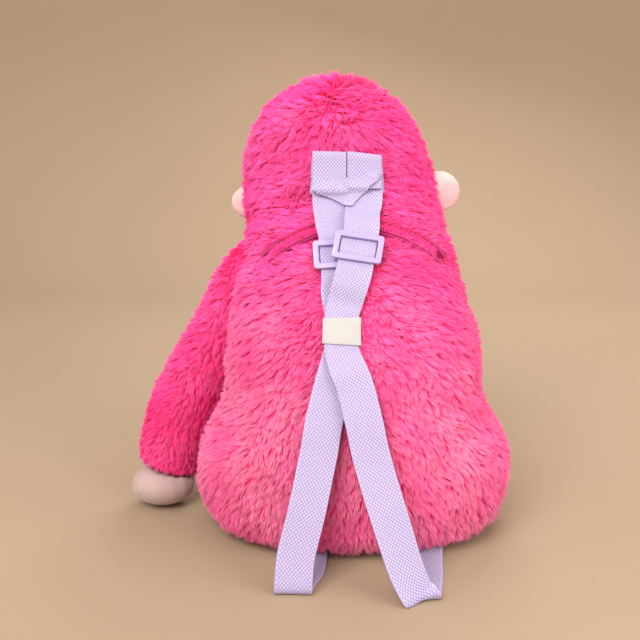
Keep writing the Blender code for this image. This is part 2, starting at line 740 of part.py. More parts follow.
class Webbing:
    """A flat strip that follows stations of centre, turn and width."""

    def __init__(self, centres, turns, widths, step, fine=()):
        gaps = [(b - a).length for a, b in zip(centres, centres[1:])]
        knots = np.concatenate([[0], np.cumsum(gaps)])
        alongs = set(np.linspace(0, knots[-1], round(knots[-1] / step) + 1))
        for row, half, fine_step in fine:
            low, high = max(knots[row] - half, 0), min(knots[row] + half, knots[-1])
            alongs = {along for along in alongs if not low - fine_step < along < high + fine_step}
            alongs |= set(np.linspace(low, high, round((high - low) / fine_step) + 1))
        self.alongs = sorted(alongs)
        self.knots = knots
        self.centres = [Vector(cubic(knots, centres, along)) for along in self.alongs]
        self.widths = [float(np.interp(along, knots, widths)) for along in self.alongs]
        turns = [math.radians(np.interp(along, knots, turns)) for along in self.alongs]
        self.acrosses, self.normals, self.tangents = [], [], []
        last = len(self.alongs) - 1
        for i, turn in enumerate(turns):
            tangent = (self.centres[min(i + 1, last)] - self.centres[max(i - 1, 0)]).normalized()
            across = Vector((math.cos(turn), math.sin(turn), 0))
            across = (across - tangent * across.dot(tangent)).normalized()
            self.acrosses.append(across)
            self.tangents.append(tangent)
            self.normals.append(tangent.cross(across))

    def station(self, row):
        """The station at a row of the strap's table."""
        at = self.knots[STEPS_PER_ROW * row]
        return min(range(len(self.alongs)), key=lambda i: abs(self.alongs[i] - at))

    def straighten(self, row, flat, fall):
        """Draws the strip straight around a row of its table, where a buckle grips it, and nowhere inwards."""
        at = self.knots[STEPS_PER_ROW * row]
        gripped = [i for i, along in enumerate(self.alongs) if abs(along - at) <= flat]
        middle = self.station(row)
        tangent = (self.centres[gripped[-1]] - self.centres[gripped[0]]).normalized()
        across = (self.acrosses[middle] - tangent * self.acrosses[middle].dot(tangent)).normalized()
        normal = tangent.cross(across)
        base = self.centres[middle]
        rise = max((self.centres[i] - base).dot(normal) for i in gripped)
        for i, along in enumerate(self.alongs):
            share = 1 - min(max((abs(along - at) - flat) / fall, 0), 1)
            share *= share * (3 - 2 * share)
            straight = base + tangent * (along - at) + normal * rise
            self.centres[i] = self.centres[i].lerp(straight, share)
            self.tangents[i] = self.tangents[i].lerp(tangent, share).normalized()
            turned = self.acrosses[i].lerp(across, share)
            self.acrosses[i] = (turned - self.tangents[i] * turned.dot(self.tangents[i])).normalized()
            self.normals[i] = self.tangents[i].cross(self.acrosses[i])

    def lift(self, row, amount, flat, fall):
        """Raises the strip around a row of its table: level over the flat length, then falling back."""
        for i, along in enumerate(self.alongs):
            away = abs(along - self.knots[STEPS_PER_ROW * row]) - flat
            share = 1 - min(max(away / fall, 0), 1)
            self.centres[i] = self.centres[i] + self.normals[i] * amount * share * share * (3 - 2 * share)

    def piece(self, name, look):
        shape = bmesh.new()
        rings = []
        for centre, across, normal, width in zip(self.centres, self.acrosses, self.normals, self.widths):
            ring = []
            for side, off in ((-1, -1), (1, -1), (1, 1), (-1, 1)):
                corner = centre + across * side * width / 2 + normal * off * WEB_THICKNESS / 2
                corner.z = max(corner.z, 0)
                ring.append(shape.verts.new(corner))
            rings.append(ring)
        for a, b in zip(rings, rings[1:]):
            for i in range(4):
                shape.faces.new((a[i], a[(i + 1) % 4], b[(i + 1) % 4], b[i]))
        shape.faces.new(rings[0])
        shape.faces.new(rings[-1])
        return add_piece(name, shape, look)


def strap(table, back_run):
    """A shoulder strap: down the back, out to the fold on the floor, and back to the seam under the body."""
    centres, turns, widths = [], [], []
    last = len(table) - 1
    for row in np.linspace(0, last, STEPS_PER_ROW * last + 1):
        height, side, layers, slack, turn, width = cubic(range(last + 1), table, row)
        rest, normal = back_rest(side * HIP_WIDTH / 2, height * TOY_HEIGHT, WEB_WIDTH / 2)
        centres.append(rest + normal * (layer(layers) + slack * STRAP_SLACK))
        turns.append(turn)
        widths.append(width * WEB_WIDTH)
    fold = centres[-1]
    for way, side, rise, turn in back_run:
        x = side * HIP_WIDTH / 2
        top = STRAP_SEAM_HEIGHT + WEB_THICKNESS
        corners = (OUTLINE.under_pile(x + edge * WEB_WIDTH / 2, top, -1).y for edge in (-1, 1))
        seam = min(corners) - 2 * GAP
        z = WEB_THICKNESS / 2 + rise * (STRAP_SEAM_HEIGHT - WEB_THICKNESS / 2)
        centres.append(Vector((x, fold.y + way * (seam - fold.y), z)))
        turns.append(turn)
        widths.append(WEB_WIDTH)
    fine = (
        (STEPS_PER_ROW * GLIDE_ROW, 0.8 * GLIDE_LENGTH, GLIDE_LENGTH / 12),
        (STEPS_PER_ROW * BAND_ROW, BAND_LENGTH, BAND_LENGTH / 4),
        (STEPS_PER_ROW * last, 0.5 * WEB_WIDTH, 1.6 * WEB_THICKNESS),
    )
    return Webbing(centres, turns, widths, 0.36 * WEB_WIDTH, fine)


def anchor_patch():
    """The webbing sewn level across the nape, which holds the straps and the loop."""
    z = (RIGHT_STRAP[0][0] + RIGHT_STRAP[1][0]) / 2 * TOY_HEIGHT + 0.05 * WEB_WIDTH
    middle = (LEFT_STRAP[0][1] + RIGHT_STRAP[0][1]) / 2 * HIP_WIDTH / 2
    shape = bmesh.new()
    sheets = []
    for off in (FUR_GAP, FUR_GAP + WEB_THICKNESS):
        sheet = []
        for rise in np.linspace(-0.55, 0.55, 5):
            row = []
            for share in np.linspace(-0.5, 0.5, 9):
                rest, normal = back_rest(middle + share * PATCH_LENGTH, z + rise * WEB_WIDTH, 0)
                row.append(shape.verts.new(rest + normal * off))
            sheet.append(row)
        sheets.append(sheet)
    for sheet in sheets:
        for low, high in zip(sheet, sheet[1:]):
            for i in range(8):
                shape.faces.new((low[i], low[i + 1], high[i + 1], high[i]))
    rims = []
    for sheet in sheets:
        left, right = [row[0] for row in sheet[1:-1]], [row[-1] for row in sheet[1:-1]]
        rims.append(sheet[0] + right + sheet[-1][::-1] + left[::-1])
    for i in range(len(rims[0])):
        shape.faces.new((rims[0][i - 1], rims[0][i], rims[1][i], rims[1][i - 1]))
    return add_piece("anchor_patch", shape, LAVENDER_WEB)


def grab_loop():
    """The hanging loop, flopped down over the strap ends: two legs side by side that end in a folded tip."""
    top = RIGHT_STRAP[0][0] * TOY_HEIGHT + 0.45 * WEB_WIDTH
    middle = (LEFT_STRAP[0][1] + RIGHT_STRAP[0][1]) / 2 * HIP_WIDTH / 2
    wide = 2 * WEB_WIDTH + GAP
    # Columns: drop by LOOP_HANG, layers beneath, width of both legs, shift to the side by WEB_WIDTH.
    rows = (
        (0.200, 1.0, 1.00, 0.00),
        (0.055, 1.0, 1.00, 0.00),
        (0.012, 1.25, 1.00, 0.00),
        (0.000, 1.8, 1.00, 0.00),
        (0.012, 2.35, 1.00, 0.00),
        (0.055, 2.6, 1.00, 0.00),
        (0.300, 2.5, 1.00, 0.00),
        (0.560, 2.5, 1.00, 0.00),
        (0.620, 2.65, 0.92, 0.02),
        (0.800, 3.25, 0.52, 0.08),
        (1.000, 3.60, 0.06, 0.14),
    )
    centres, widths = [], []
    for drop, layers, width, shift in rows:
        z = top - drop * LOOP_HANG
        rest, normal = back_rest(middle, z, WEB_WIDTH)
        centres.append(rest + normal * layer(layers) + Vector((shift * WEB_WIDTH, 0, 0)))
        widths.append(width * wide)
    loop = Webbing(centres, [0] * len(rows), widths, WEB_THICKNESS).piece("grab_loop", LAVENDER_WEB)
    slit = bmesh.new()
    bmesh.ops.create_cube(slit, size=1)
    height = 0.52 * LOOP_HANG
    for vert in slit.verts:
        place = Vector((vert.co.x * 2 * GAP, vert.co.y * HEAD_DEPTH, vert.co.z * 2 * height))
        vert.co = place + Vector((middle, centres[-1].y, top))
    combine(loop, add_piece("slit", slit, LAVENDER_WEB))
    return loop


def rounded_loop(half_u, half_v, radius, w, shape):
    """Vertices round a rounded rectangle in the glide's own plane."""
    ring = []
    for corner_u, corner_v, start in ((1, 1, 0), (-1, 1, 90), (-1, -1, 180), (1, -1, 270)):
        for step in (0, 30, 60, 90):
            angle = math.radians(start + step)
            u = corner_u * (half_u - radius) + radius * math.cos(angle)
            v = corner_v * (half_v - radius) + radius * math.sin(angle)
            ring.append(shape.verts.new((u, v, w)))
    return ring


def tri_glide(name, strap_run, station):
    """A slide buckle: an outer frame over the strap and a middle bar under it, joined at the sides."""
    low = WEB_THICKNESS / 2 + GAP
    shape = bmesh.new()
    window = (GLIDE_WIDTH / 2 - GLIDE_BAR, GLIDE_LENGTH / 2 - GLIDE_BAR)
    loops = []
    for w in (low, low + GLIDE_THICKNESS):
        loops.append((rounded_loop(GLIDE_WIDTH / 2, GLIDE_LENGTH / 2, 0.0022, w, shape),
                      rounded_loop(*window, 0.0006, w, shape)))
    (outer_low, inner_low), (outer_high, inner_high) = loops
    for i in range(16):
        after = (i + 1) % 16
        for a, b in ((outer_low, outer_high), (outer_high, inner_high), (inner_high, inner_low),
                     (inner_low, outer_low)):
            shape.faces.new((a[i], a[after], b[after], b[i]))
    glide = add_piece(name, shape, LAVENDER_PLASTIC)
    cradle = bmesh.new()
    wide, inside = window[0] + 0.7 * GLIDE_BAR, window[0] + 0.1 * GLIDE_BAR
    high = low + 0.6 * GLIDE_THICKNESS
    profile = ((-wide, -BAR_THICKNESS), (wide, -BAR_THICKNESS), (wide, high), (inside, high),
               (inside, 0), (-inside, 0), (-inside, high), (-wide, high))
    sides = [[cradle.verts.new((u, v * GLIDE_BAR / 2, w)) for u, w in profile] for v in (-1, 1)]
    for i in range(8):
        after = (i + 1) % 8
        cradle.faces.new((sides[0][i], sides[0][after], sides[1][after], sides[1][i]))
    cradle.faces.new(sides[0])
    cradle.faces.new(sides[1])
    combine(glide, add_piece("cradle", cradle, LAVENDER_PLASTIC), "UNION")
    axes = (strap_run.acrosses[station], -strap_run.tangents[station], strap_run.normals[station])
    place = Matrix([[axis[row] for axis in axes] for row in range(3)]).to_4x4()
    place.translation = strap_run.centres[station]
    glide.data.transform(place)
    return glide


def strap_band(left, middle):
    """A paper band round both straps."""
    shape = bmesh.new()
    rings = []
    spread = RIGHT_STRAP[BAND_ROW][2] * (WEB_THICKNESS + GAP)
    half_stack = (spread + WEB_THICKNESS) / 2 + 1.5 * GAP
    for i in (middle - 2, middle, middle + 2):
        centre = left.centres[i] + left.normals[i] * spread / 2
        half_width = left.widths[i] / 2 + 3 * GAP
        ring = []
        for wall in (BAND_WALL, 0):
            for side, off in ((-1, -1), (1, -1), (1, 1), (-1, 1)):
                across = left.acrosses[i] * side * (half_width + wall)
                ring.append(shape.verts.new(centre + across + left.normals[i] * off * (half_stack + wall)))
        rings.append(ring)
    for a, b in zip(rings, rings[1:]):
        for start in (0, 4):
            for i in range(4):
                after = (i + 1) % 4
                shape.faces.new((a[start + i], a[start + after], b[start + after], b[start + i]))
    for ring in (rings[0], rings[-1]):
        for i in range(4):
            after = (i + 1) % 4
            shape.faces.new((ring[i], ring[after], ring[4 + after], ring[4 + i]))
    return add_piece("strap_band", shape, WHITE_PAPER)


def build_body():
    """Body and head from one furry skin, parted at the neck, and the limbs, ears and face seated on them."""
    skin = toy_skin()
    torso, head = bmesh.new(), bmesh.new()
    torso.from_mesh(skin.data)
    head.from_mesh(skin.data)
    body = add_piece("torso", neck_cut(torso, False, -GAP / 2), PINK_FUR)
    add_piece("head", neck_cut(head, True, GAP / 2), PINK_FUR)
    combine(body, compartment())
    combine(body, zip_slot())
    for side, mirror in (("left", -1), ("right", 1)):
        leg = limb_piece("leg_" + side, LEGS[side])
        seat_on(leg, skin)
        foot = paw("foot_" + side, *FOOT, LEG_THICKNESS, mirror)
        seat_on(foot, leg)
        arm = limb_piece("arm_" + side, ARMS[side])
        seat_on(arm, skin, leg)
        hand = LEFT_HAND if side == "left" else RIGHT_HAND
        seat_on(paw("hand_" + side, *hand, ARM_THICKNESS), arm, leg, skin)
        seat_on(ear("ear_" + side, side), skin)
    build_face(skin)
    bpy.data.objects.remove(skin, do_unlink=True)


def pad_hole(centre, half):
    """A straight cutter with clearance round a pad of the face."""
    shape = bmesh.new()
    rings = []
    for y in (HEAD_FORWARD, HEAD_FORWARD + HEAD_DEPTH):
        ring = []
        for i in range(24):
            angle = 2 * math.pi * i / 24
            x = centre[0] + (half[0] + 3 * GAP) * math.cos(angle)
            z = centre[1] + (half[1] + 3 * GAP) * math.sin(angle)
            ring.append(shape.verts.new((x, y, z)))
        rings.append(ring)
    for i in range(24):
        shape.faces.new((rings[0][i - 1], rings[0][i], rings[1][i], rings[1][i - 1]))
    shape.faces.new(rings[0])
    shape.faces.new(rings[1])
    return add_piece("pad_hole", shape, PALE_VELBOA)


def build_face(skin):
    """The face patch, the muzzle and the eyes. The patch is cut out round what stands on the head through it."""
    side, height, half_width, half_height = face_pad(FACE_PATCH)
    heights = (SUNK_BASE, 0.4 * FACE_THICKNESS, FACE_THICKNESS)
    patch = face_piece("face_patch", (side, height), (half_width, half_height), heights, PALE_VELBOA)
    seat_on(patch, skin)
    side, height, half_width, half_height = face_pad(MUZZLE)
    heights = (SUNK_BASE, 1.8 * FACE_THICKNESS, MUZZLE_REACH)
    muzzle = face_piece("muzzle", (side, height), (half_width, half_height), heights, PALE_VELBOA)
    seat_on(muzzle, skin)
    combine(patch, pad_hole((side, height), (half_width, half_height)))
    for name, mirror in (("eye_left", -1), ("eye_right", 1)):
        place = (side + mirror * EYE_SIDE * HEAD_WIDTH / 2, EYE_HEIGHT * TOY_HEIGHT)
        heights = (SUNK_BASE, 1.5 * FACE_THICKNESS, EYE_REACH)
        eye = face_piece(name, place, (EYE_WIDTH / 2, EYE_WIDTH / 2), heights, BLACK_PLASTIC, 12, 3)
        seat_on(eye, skin)
        combine(patch, pad_hole(place, (EYE_WIDTH / 2, EYE_WIDTH / 2)))


def build_zip():
    edge = ZIP_SLOT / 2 - GAP
    coil = TEETH_WIDTH / 2
    zip_ribbon("zip_tape_upper", coil + GAP, edge, TAPE_THICKNESS, 17)
    zip_ribbon("zip_tape_lower", -edge, -coil - GAP, TAPE_THICKNESS, 17)
    zip_ribbon("zip_teeth", -coil, coil, TEETH_THICKNESS, 2 * round(ZIP_SPAN / TOOTH_PITCH / 2) + 1, 0.0006)
    zip_slider()


def build_webbing():
    anchor_patch()
    grab_loop()
    left = strap(LEFT_STRAP, LEFT_RETURN)
    right = strap(RIGHT_STRAP, RIGHT_RETURN)
    hump = WEB_THICKNESS / 2 + GAP
    left_rest = FUR_GAP + BAR_THICKNESS
    right_rest = left_rest + hump + GLIDE_THICKNESS + GAP + BAR_THICKNESS
    half_bar = 0.6 * GLIDE_BAR
    under_frame = GLIDE_LENGTH / 2 - GLIDE_BAR - half_bar
    left.straighten(GLIDE_ROW, 0.7 * GLIDE_LENGTH, 0.5 * GLIDE_LENGTH)
    right.straighten(GLIDE_ROW, 0.7 * GLIDE_LENGTH, 0.8 * GLIDE_LENGTH)
    left.lift(GLIDE_ROW, left_rest - layer(0), 0.7 * GLIDE_LENGTH, 0.5 * GLIDE_LENGTH)
    right.lift(GLIDE_ROW, right_rest - layer(1), 1.05 * GLIDE_LENGTH, 0.8 * GLIDE_LENGTH)
    for name, run in (("left", left), ("right", right)):
        run.lift(BAND_ROW, BAND_WALL + 2.5 * GAP, 0.6 * BAND_LENGTH, 0.5 * BAND_LENGTH)
        tri_glide("tri_glide_" + name, run, run.station(GLIDE_ROW))
        run.lift(GLIDE_ROW, hump, half_bar, under_frame)
        run.piece("strap_" + name, LAVENDER_WEB)
    strap_band(left, left.station(BAND_ROW))


clear_scene()
build_body()
build_zip()
build_webbing()
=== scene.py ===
"""Plush ape backpack, seen from behind: hot-pink fur bag body, arched zip, lavender webbing."""

import math

import bmesh
import bpy
import numpy as np
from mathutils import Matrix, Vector, noise
from mathutils.bvhtree import BVHTree


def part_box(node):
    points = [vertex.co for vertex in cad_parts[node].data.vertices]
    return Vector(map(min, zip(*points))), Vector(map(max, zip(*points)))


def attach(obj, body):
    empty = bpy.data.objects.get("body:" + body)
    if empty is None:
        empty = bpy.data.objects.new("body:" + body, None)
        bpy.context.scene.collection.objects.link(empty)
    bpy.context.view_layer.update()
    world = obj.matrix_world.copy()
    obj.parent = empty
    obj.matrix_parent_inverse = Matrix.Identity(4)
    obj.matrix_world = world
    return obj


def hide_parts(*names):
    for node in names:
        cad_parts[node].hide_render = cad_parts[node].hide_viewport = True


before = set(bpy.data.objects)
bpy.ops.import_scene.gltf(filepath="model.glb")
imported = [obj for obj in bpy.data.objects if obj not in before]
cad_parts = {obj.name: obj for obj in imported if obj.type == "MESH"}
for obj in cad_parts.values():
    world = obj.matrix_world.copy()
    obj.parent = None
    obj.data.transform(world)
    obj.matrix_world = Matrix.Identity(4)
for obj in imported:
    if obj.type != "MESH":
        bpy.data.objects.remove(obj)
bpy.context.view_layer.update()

# ---- Table, light and camera ----
# A pale sweep of card that the toy sits on, one large soft lamp above on the left, a weaker one on the
# right, and a low one behind that lights the fuzzy edge of the pile. The camera looks at the toy's back, a
# little from above.
CARD_FRONT, CARD_HALF, CARD_TOP, CARD_SINK = -3.0, 4, 3.0, 0.0003
BEND_FROM, BEND_RADIUS = 0.9, 0.5


def in_scene(name, data):
    """A new object of this data, in the scene."""
    made = bpy.data.objects.new(name, data)
    bpy.context.scene.collection.objects.link(made)
    return made


def smooth(mesh):
    for face in mesh.polygons:
        face.use_smooth = True


sweep_mesh = bmesh.new()
profile = [(CARD_FRONT, 0.0), (BEND_FROM, 0.0)]
for turn in np.linspace(0.15, math.pi / 2, 10):
    profile.append((BEND_FROM + BEND_RADIUS * math.sin(turn), BEND_RADIUS - BEND_RADIUS * math.cos(turn)))
profile.append((BEND_FROM + BEND_RADIUS, CARD_TOP))
rails = [[sweep_mesh.verts.new((x, y, z - CARD_SINK)) for y, z in profile] for x in (-CARD_HALF, CARD_HALF)]
for i in range(len(profile) - 1):
    sweep_mesh.faces.new((rails[0][i], rails[1][i], rails[1][i + 1], rails[0][i + 1]))
card = bpy.data.meshes.new("card_sweep")
sweep_mesh.to_mesh(card)
sweep_mesh.free()
smooth(card)
sweep = in_scene("card_sweep", card)


class Paint:
    """Adds nodes to a tree. Every node of this file, of shaders and of shapes, is made here."""

    def __init__(self, tree, shader=None):
        self.tree = tree
        self.shader = shader

    def node(self, kind, values=None, **settings):
        made = self.tree.nodes.new(kind)
        for key, value in settings.items():
            setattr(made, key, value)
        for key, value in (values or {}).items():
            socket = made.inputs[key] if isinstance(key, int) else self.named(made.inputs, key)
            if isinstance(value, Number):
                value = value.socket
            if isinstance(value, bpy.types.NodeSocket):
                self.tree.links.new(value, socket)
            else:
                socket.default_value = value
        return made

    @staticmethod
    def named(sockets, name):
        return next(socket for socket in sockets if socket.name == name and socket.enabled)

    def out(self, kind, output, values=None, **settings):
        return self.named(self.node(kind, values, **settings).outputs, output)

    def number(self, kind, output, values=None, **settings):
        return Number(self, self.out(kind, output, values, **settings))

    def mix(self, share, first, second):
        values = {"Factor": share, "A": (*first, 1) if isinstance(first, tuple) else first,
                  "B": (*second, 1) if isinstance(second, tuple) else second}
        return self.out("ShaderNodeMix", "Result", values, data_type="RGBA")

    def noise(self, scale, detail=2.0, distortion=0.0):
        values = {"Vector": self.out("ShaderNodeTexCoord", "Object"), "Scale": scale, "Detail": detail,
                  "Distortion": distortion}
        return self.number("ShaderNodeTexNoise", "Fac", values)

    def attribute(self, name):
        return self.number("ShaderNodeAttribute", "Fac", attribute_name=name)

    def feed(self, name, value):
        """Links a socket or a number into the shader."""
        self.tree.links.new(getattr(value, "socket", value), self.shader.inputs[name])

    def colour(self, share, first, second):
        self.feed("Base Color", self.mix(share, first, second))

    def bump(self, height, distance, strength):
        values = {"Height": height, "Distance": distance, "Strength": strength}
        self.feed("Normal", self.out("ShaderNodeBump", "Normal", values))


class Number:
    """A socket that holds one number, with Python's operators."""

    def __init__(self, paint, socket):
        self.paint = paint
        self.socket = socket

    def maths(self, operation, *others):
        values = dict(enumerate((self, *others)))
        return self.paint.number("ShaderNodeMath", "Value", values, operation=operation)

    def __rsub__(self, other):
        return self.paint.number("ShaderNodeMath", "Value", {0: other, 1: self}, operation="SUBTRACT")

    def between(self, low, high):
        """0 under low, 1 over high, and smooth between."""
        values = {"Value": self, "From Min": low, "From Max": high}
        return self.paint.number("ShaderNodeMapRange", "Result", values, interpolation_type="SMOOTHSTEP")


for sign, operation in (("add", "ADD"), ("sub", "SUBTRACT"), ("mul", "MULTIPLY"), ("truediv", "DIVIDE"),
                        ("pow", "POWER")):
    setattr(Number, f"__{sign}__", lambda self, other, what=operation: self.maths(what, other))


def new_finish(name, roughness, sheen=0.0, sheen_tint=(1, 1, 1), coat=0.0):
    """A material and its paint. The numbers of its shader that don't vary are set here."""
    finish = bpy.data.materials.new(name)
    finish.use_nodes = True
    shader = finish.node_tree.nodes["Principled BSDF"]
    shader.inputs["Roughness"].default_value = roughness
    shader.inputs["Sheen Weight"].default_value = sheen
    shader.inputs["Sheen Roughness"].default_value = 0.4
    shader.inputs["Sheen Tint"].default_value = (*sheen_tint, 1)
    shader.inputs["Coat Weight"].default_value = coat
    return finish, Paint(finish.node_tree, shader)


card_finish, paint = new_finish("pale_card", 0.9)
paint.colour(paint.noise(3.0, 3.0), (0.325, 0.232, 0.150), (0.345, 0.252, 0.166))
card.materials.append(card_finish)

AIM = Vector((0, 0, 0.14))
# Name, place, side, power and colour of each lamp
lamps = (
    ("key", (-0.55, -1.25, 1.25), 0.9, 29.5, (1.0, 0.97, 0.94)),
    ("fill", (1.15, -0.95, 0.75), 1.0, 14.5, (1.0, 0.96, 0.95)),
    ("edge", (0.25, 0.95, 0.95), 0.8, 10.0, (1.0, 0.98, 0.96)),
)
for name, spot, side, power, colour in lamps:
    lamp = bpy.data.lights.new(name, "AREA")
    lamp.size = side
    lamp.energy = power
    lamp.color = colour
    holder = in_scene(name, lamp)
    holder.location = spot
    holder.rotation_euler = (AIM - Vector(spot)).to_track_quat("-Z", "Y").to_euler()
world = bpy.data.worlds.new("room")
world.use_nodes = True
air = world.node_tree.nodes["Background"].inputs
air["Color"].default_value = (1.0, 0.97, 0.95, 1)
air["Strength"].default_value = 1.02
bpy.context.scene.world = world
bpy.context.scene.view_settings.view_transform = "Standard"

lens = bpy.data.cameras.new("camera")
lens.sensor_width = 36
PICTURE_SIDE, FOCAL_PIXELS = 640, 950
lens.lens = lens.sensor_width * FOCAL_PIXELS / PICTURE_SIDE
lens.clip_start = 0.02
camera = in_scene("camera", lens)
camera.location = (-0.025, -0.684, 0.300)
camera.rotation_euler = (math.radians(78), 0, 0)
bpy.context.scene.camera = camera

# ---- Body and head: the stuffed skins ----
# Two skins of fur fabric, sewn together at a slanted neck seam, stuffed firmly in the head and loosely
# round the compartment in the body. The seat is pressed flat. The pile that stands on them is made in the
# next section.
PILE = 0.0055
FLOOR_GAP, CROWN_RISE = 0.0012, 0.0012
# Rows from seat to crown over the pile's tips, in mm: height, centre, half width, back, front
FORM = np.array((
    (0, 0, 90, -60, 60), (4.8, 0, 104.5, -76, 75), (16, 0, 112.4, -85, 83.5),
    (35, 0, 117.2, -90.2, 87.1), (55, 0, 117.8, -92, 88), (70, 0, 113.3, -92, 88),
    (86, 0, 103.9, -90.6, 87.1), (102, 0, 97.7, -88, 85.8), (125, 0, 95.1, -81.9, 84),
    (150, -1.1, 92.1, -72.2, 81.8), (175, -2.7, 86.1, -60, 81), (195, -3.8, 81, -49, 81.8),
    (212, -5.1, 76.7, -37.8, 86.9), (227.9, -6.8, 74.1, -25, 95), (242, -8.8, 73.5, -12.4, 100.8),
    (255.1, -10.1, 73.4, -5.9, 108.9), (270, -11.9, 71.1, -3, 113), (285, -13.5, 66.3, -1, 113),
    (298, -13.5, 60, 2.8, 109.5), (310, -13.5, 51, 9.8, 102.6), (320, -13.5, 39.5, 20.2, 91.5),
    (327.9, -13.5, 25.7, 32.7, 78.2), (331.9, -13.5, 11.2, 45.1, 64.9),
)) / 1000
SQUARENESS = 2.25
CREASE_WIDTH = 4.5
# Creases of the fur, from photo side marks, in mm: points across and up, and depth
CREASES = (
    (((-78, 198), (-68, 214), (-55, 230), (-40, 239)), 4.0),
    (((-72, 229), (-62, 238), (-48, 244), (-30, 247)), 4.2),
    (((62, 204), (76, 190), (86, 168)), 3.0),
)


def smooth_rows(rows, at):
    """Rows of numbers read between their lines, with slopes from the neighbours."""
    slopes = np.gradient(rows, axis=0)
    i = np.clip(np.floor(at).astype(int), 0, len(rows) - 2)
    t = (at - i)[:, None]
    start = rows[i] * (1 + 2 * t) * (1 - t) ** 2 + slopes[i] * t * (1 - t) ** 2
    return start + rows[i + 1] * t * t * (3 - 2 * t) + slopes[i + 1] * t * t * (t - 1)


FINE_FORM = smooth_rows(FORM, np.linspace(0, len(FORM) - 1, 900))


def form_at(z):
    return [float(np.interp(z, FINE_FORM[:, 0], FINE_FORM[:, i])) for i in range(1, 5)]


def back_of_form(x, z, depth=0.0):
    """The point at x and z on the back, this deep under the pile's tips."""
    def reach(x, z):
        centre, half, back, front = form_at(z)
        away = min(abs(x - centre) / half, 0.999)
        return (back + front) / 2 - (front - back) / 2 * (1 - away**SQUARENESS) ** (1 / SQUARENESS)

    y = reach(x, z)
    slope = Vector(((reach(x + 0.001, z) - reach(x - 0.001, z)) / 0.002, -1,
                    (reach(x, z + 0.001) - reach(x, z - 0.001)) / 0.002)).normalized()
    return Vector((x, y, z)) - slope * depth, slope


def link_piece(name, mesh, *replaced, slot):
    """Puts a finished mesh in the scene, riding with the toy, in place of its CAD nodes."""
    piece = in_scene(name, mesh)
    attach(piece, "root")
    if replaced:
        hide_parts(*replaced)
    return piece


def crease_depth(x, z, back):
    """How deep the fur's creases are here, on the back."""
    if not back:
        return 0
    depth = 0
    for points, deep in CREASES:
        for (ax, az), (bx, bz) in zip(points, points[1:]):
            along = ((x - ax) * (bx - ax) + (z - az) * (bz - az)) / ((bx - ax) ** 2 + (bz - az) ** 2)
            along = min(max(along, 0), 1)
            away = math.hypot(x - ax - along * (bx - ax), z - az - along * (bz - az))
            depth = max(depth, deep * math.exp(-((away / CREASE_WIDTH) ** 2)))
    return depth


# Middle line of the zip, in mm across and up: part of a circle. The fur is pressed in along it.
ZIP_RADIUS = 93.0
ZIP_CENTRE = (-1.0, 227.5 - ZIP_RADIUS)
ZIP_HALF, NO_ZIP = 62, 99
GROOVE_DEPTH, GROOVE_FLAT, GROOVE_EDGE = 0.0042, 3.0, 7.0


def zip_away(points):
    """How many mm above the zip's line these points lie, or below it where negative."""
    x, z = points[..., 0] * 1000 - ZIP_CENTRE[0], points[..., 2] * 1000 - ZIP_CENTRE[1]
    ring = np.hypot(x, z) - ZIP_RADIUS
    return np.where((z > 0) & (np.abs(x) < ZIP_HALF), ring, NO_ZIP)


def step_between(value, low, high):
    t = np.clip((value - low) / (high - low), 0, 1)
    return t * t * (3 - 2 * t)


def lengths_along(points):
    """How far along the line through them each point lies."""
    return np.concatenate([[0], np.cumsum(np.linalg.norm(np.diff(points, axis=0), axis=1))])


def evened(rows, along, count):
    """This many rows, evenly spaced along."""
    at = np.linspace(0, along[-1], count)
    return np.stack([np.interp(at, along, column) for column in rows.T], axis=1)


def join_rings(shape, rings):
    for a, b in zip(rings, rings[1:]):
        for i in range(len(a)):
            k = (i + 1) % len(a)
            shape.faces.new((a[i], a[k], b[k], b[i]))


def close_ring(shape, ring, spot):
    middle = shape.verts.new(spot)
    for i in range(len(ring)):
        shape.faces.new((ring[i], ring[(i + 1) % len(ring)], middle))


def form_skin():
    """The whole lumpy skin with its creases and the zip's groove, before the neck parts it."""
    across, up = 236, 228
    rows = evened(FINE_FORM, lengths_along(FINE_FORM[:, [0, 2, 3]]), up)
    turns = np.linspace(0, 2 * math.pi, across, endpoint=False)
    cos, sin = np.cos(turns), np.sin(turns)
    cos, sin = (np.sign(v) * np.abs(v) ** (2 / SQUARENESS) for v in (cos, sin))
    points = np.empty((up, across, 3))
    height, centre, half, back, front = (rows[:, i, None] for i in range(5))
    points[..., 0] = centre + half * cos
    points[..., 1] = (back + front) / 2 + (front - back) / 2 * sin
    points[..., 2] = height
    side = np.roll(points, -1, axis=1) - np.roll(points, 1, axis=1)
    normals = np.cross(side, np.gradient(points, axis=0))
    normals /= np.linalg.norm(normals, axis=2, keepdims=True)
    shape = bmesh.new()
    rings = []
    for j in range(up):
        ring = []
        for i in range(across):
            point, normal = Vector(points[j, i]), Vector(normals[j, i])
            lumps = 0.0020 * noise.noise(point * 32) + 0.0009 * noise.noise(point * 80)
            behind = normal.y < 0
            line = abs(zip_away(points[j, i]))
            groove = float(1 - step_between(line, GROOVE_FLAT, GROOVE_EDGE)) if behind else 0
            crease = crease_depth(point.x * 1000, point.z * 1000, behind) / 1000
            lift = lumps * (1 - groove) - GROOVE_DEPTH * groove - crease * (1 - groove) - PILE
            spot = point + normal * lift
            spot.z = FLOOR_GAP if j == 0 else max(spot.z, FLOOR_GAP)
            ring.append(shape.verts.new(spot))
        rings.append(ring)
    join_rings(shape, rings)
    shape.faces.new(rings[0][::-1])
    crown = Vector(np.mean([v.co for v in rings[-1]], axis=0))
    close_ring(shape, rings[-1], crown + Vector((0, 0, CROWN_RISE)))
    return shape


def everything(shape):
    return list(shape.verts) + list(shape.edges) + list(shape.faces)


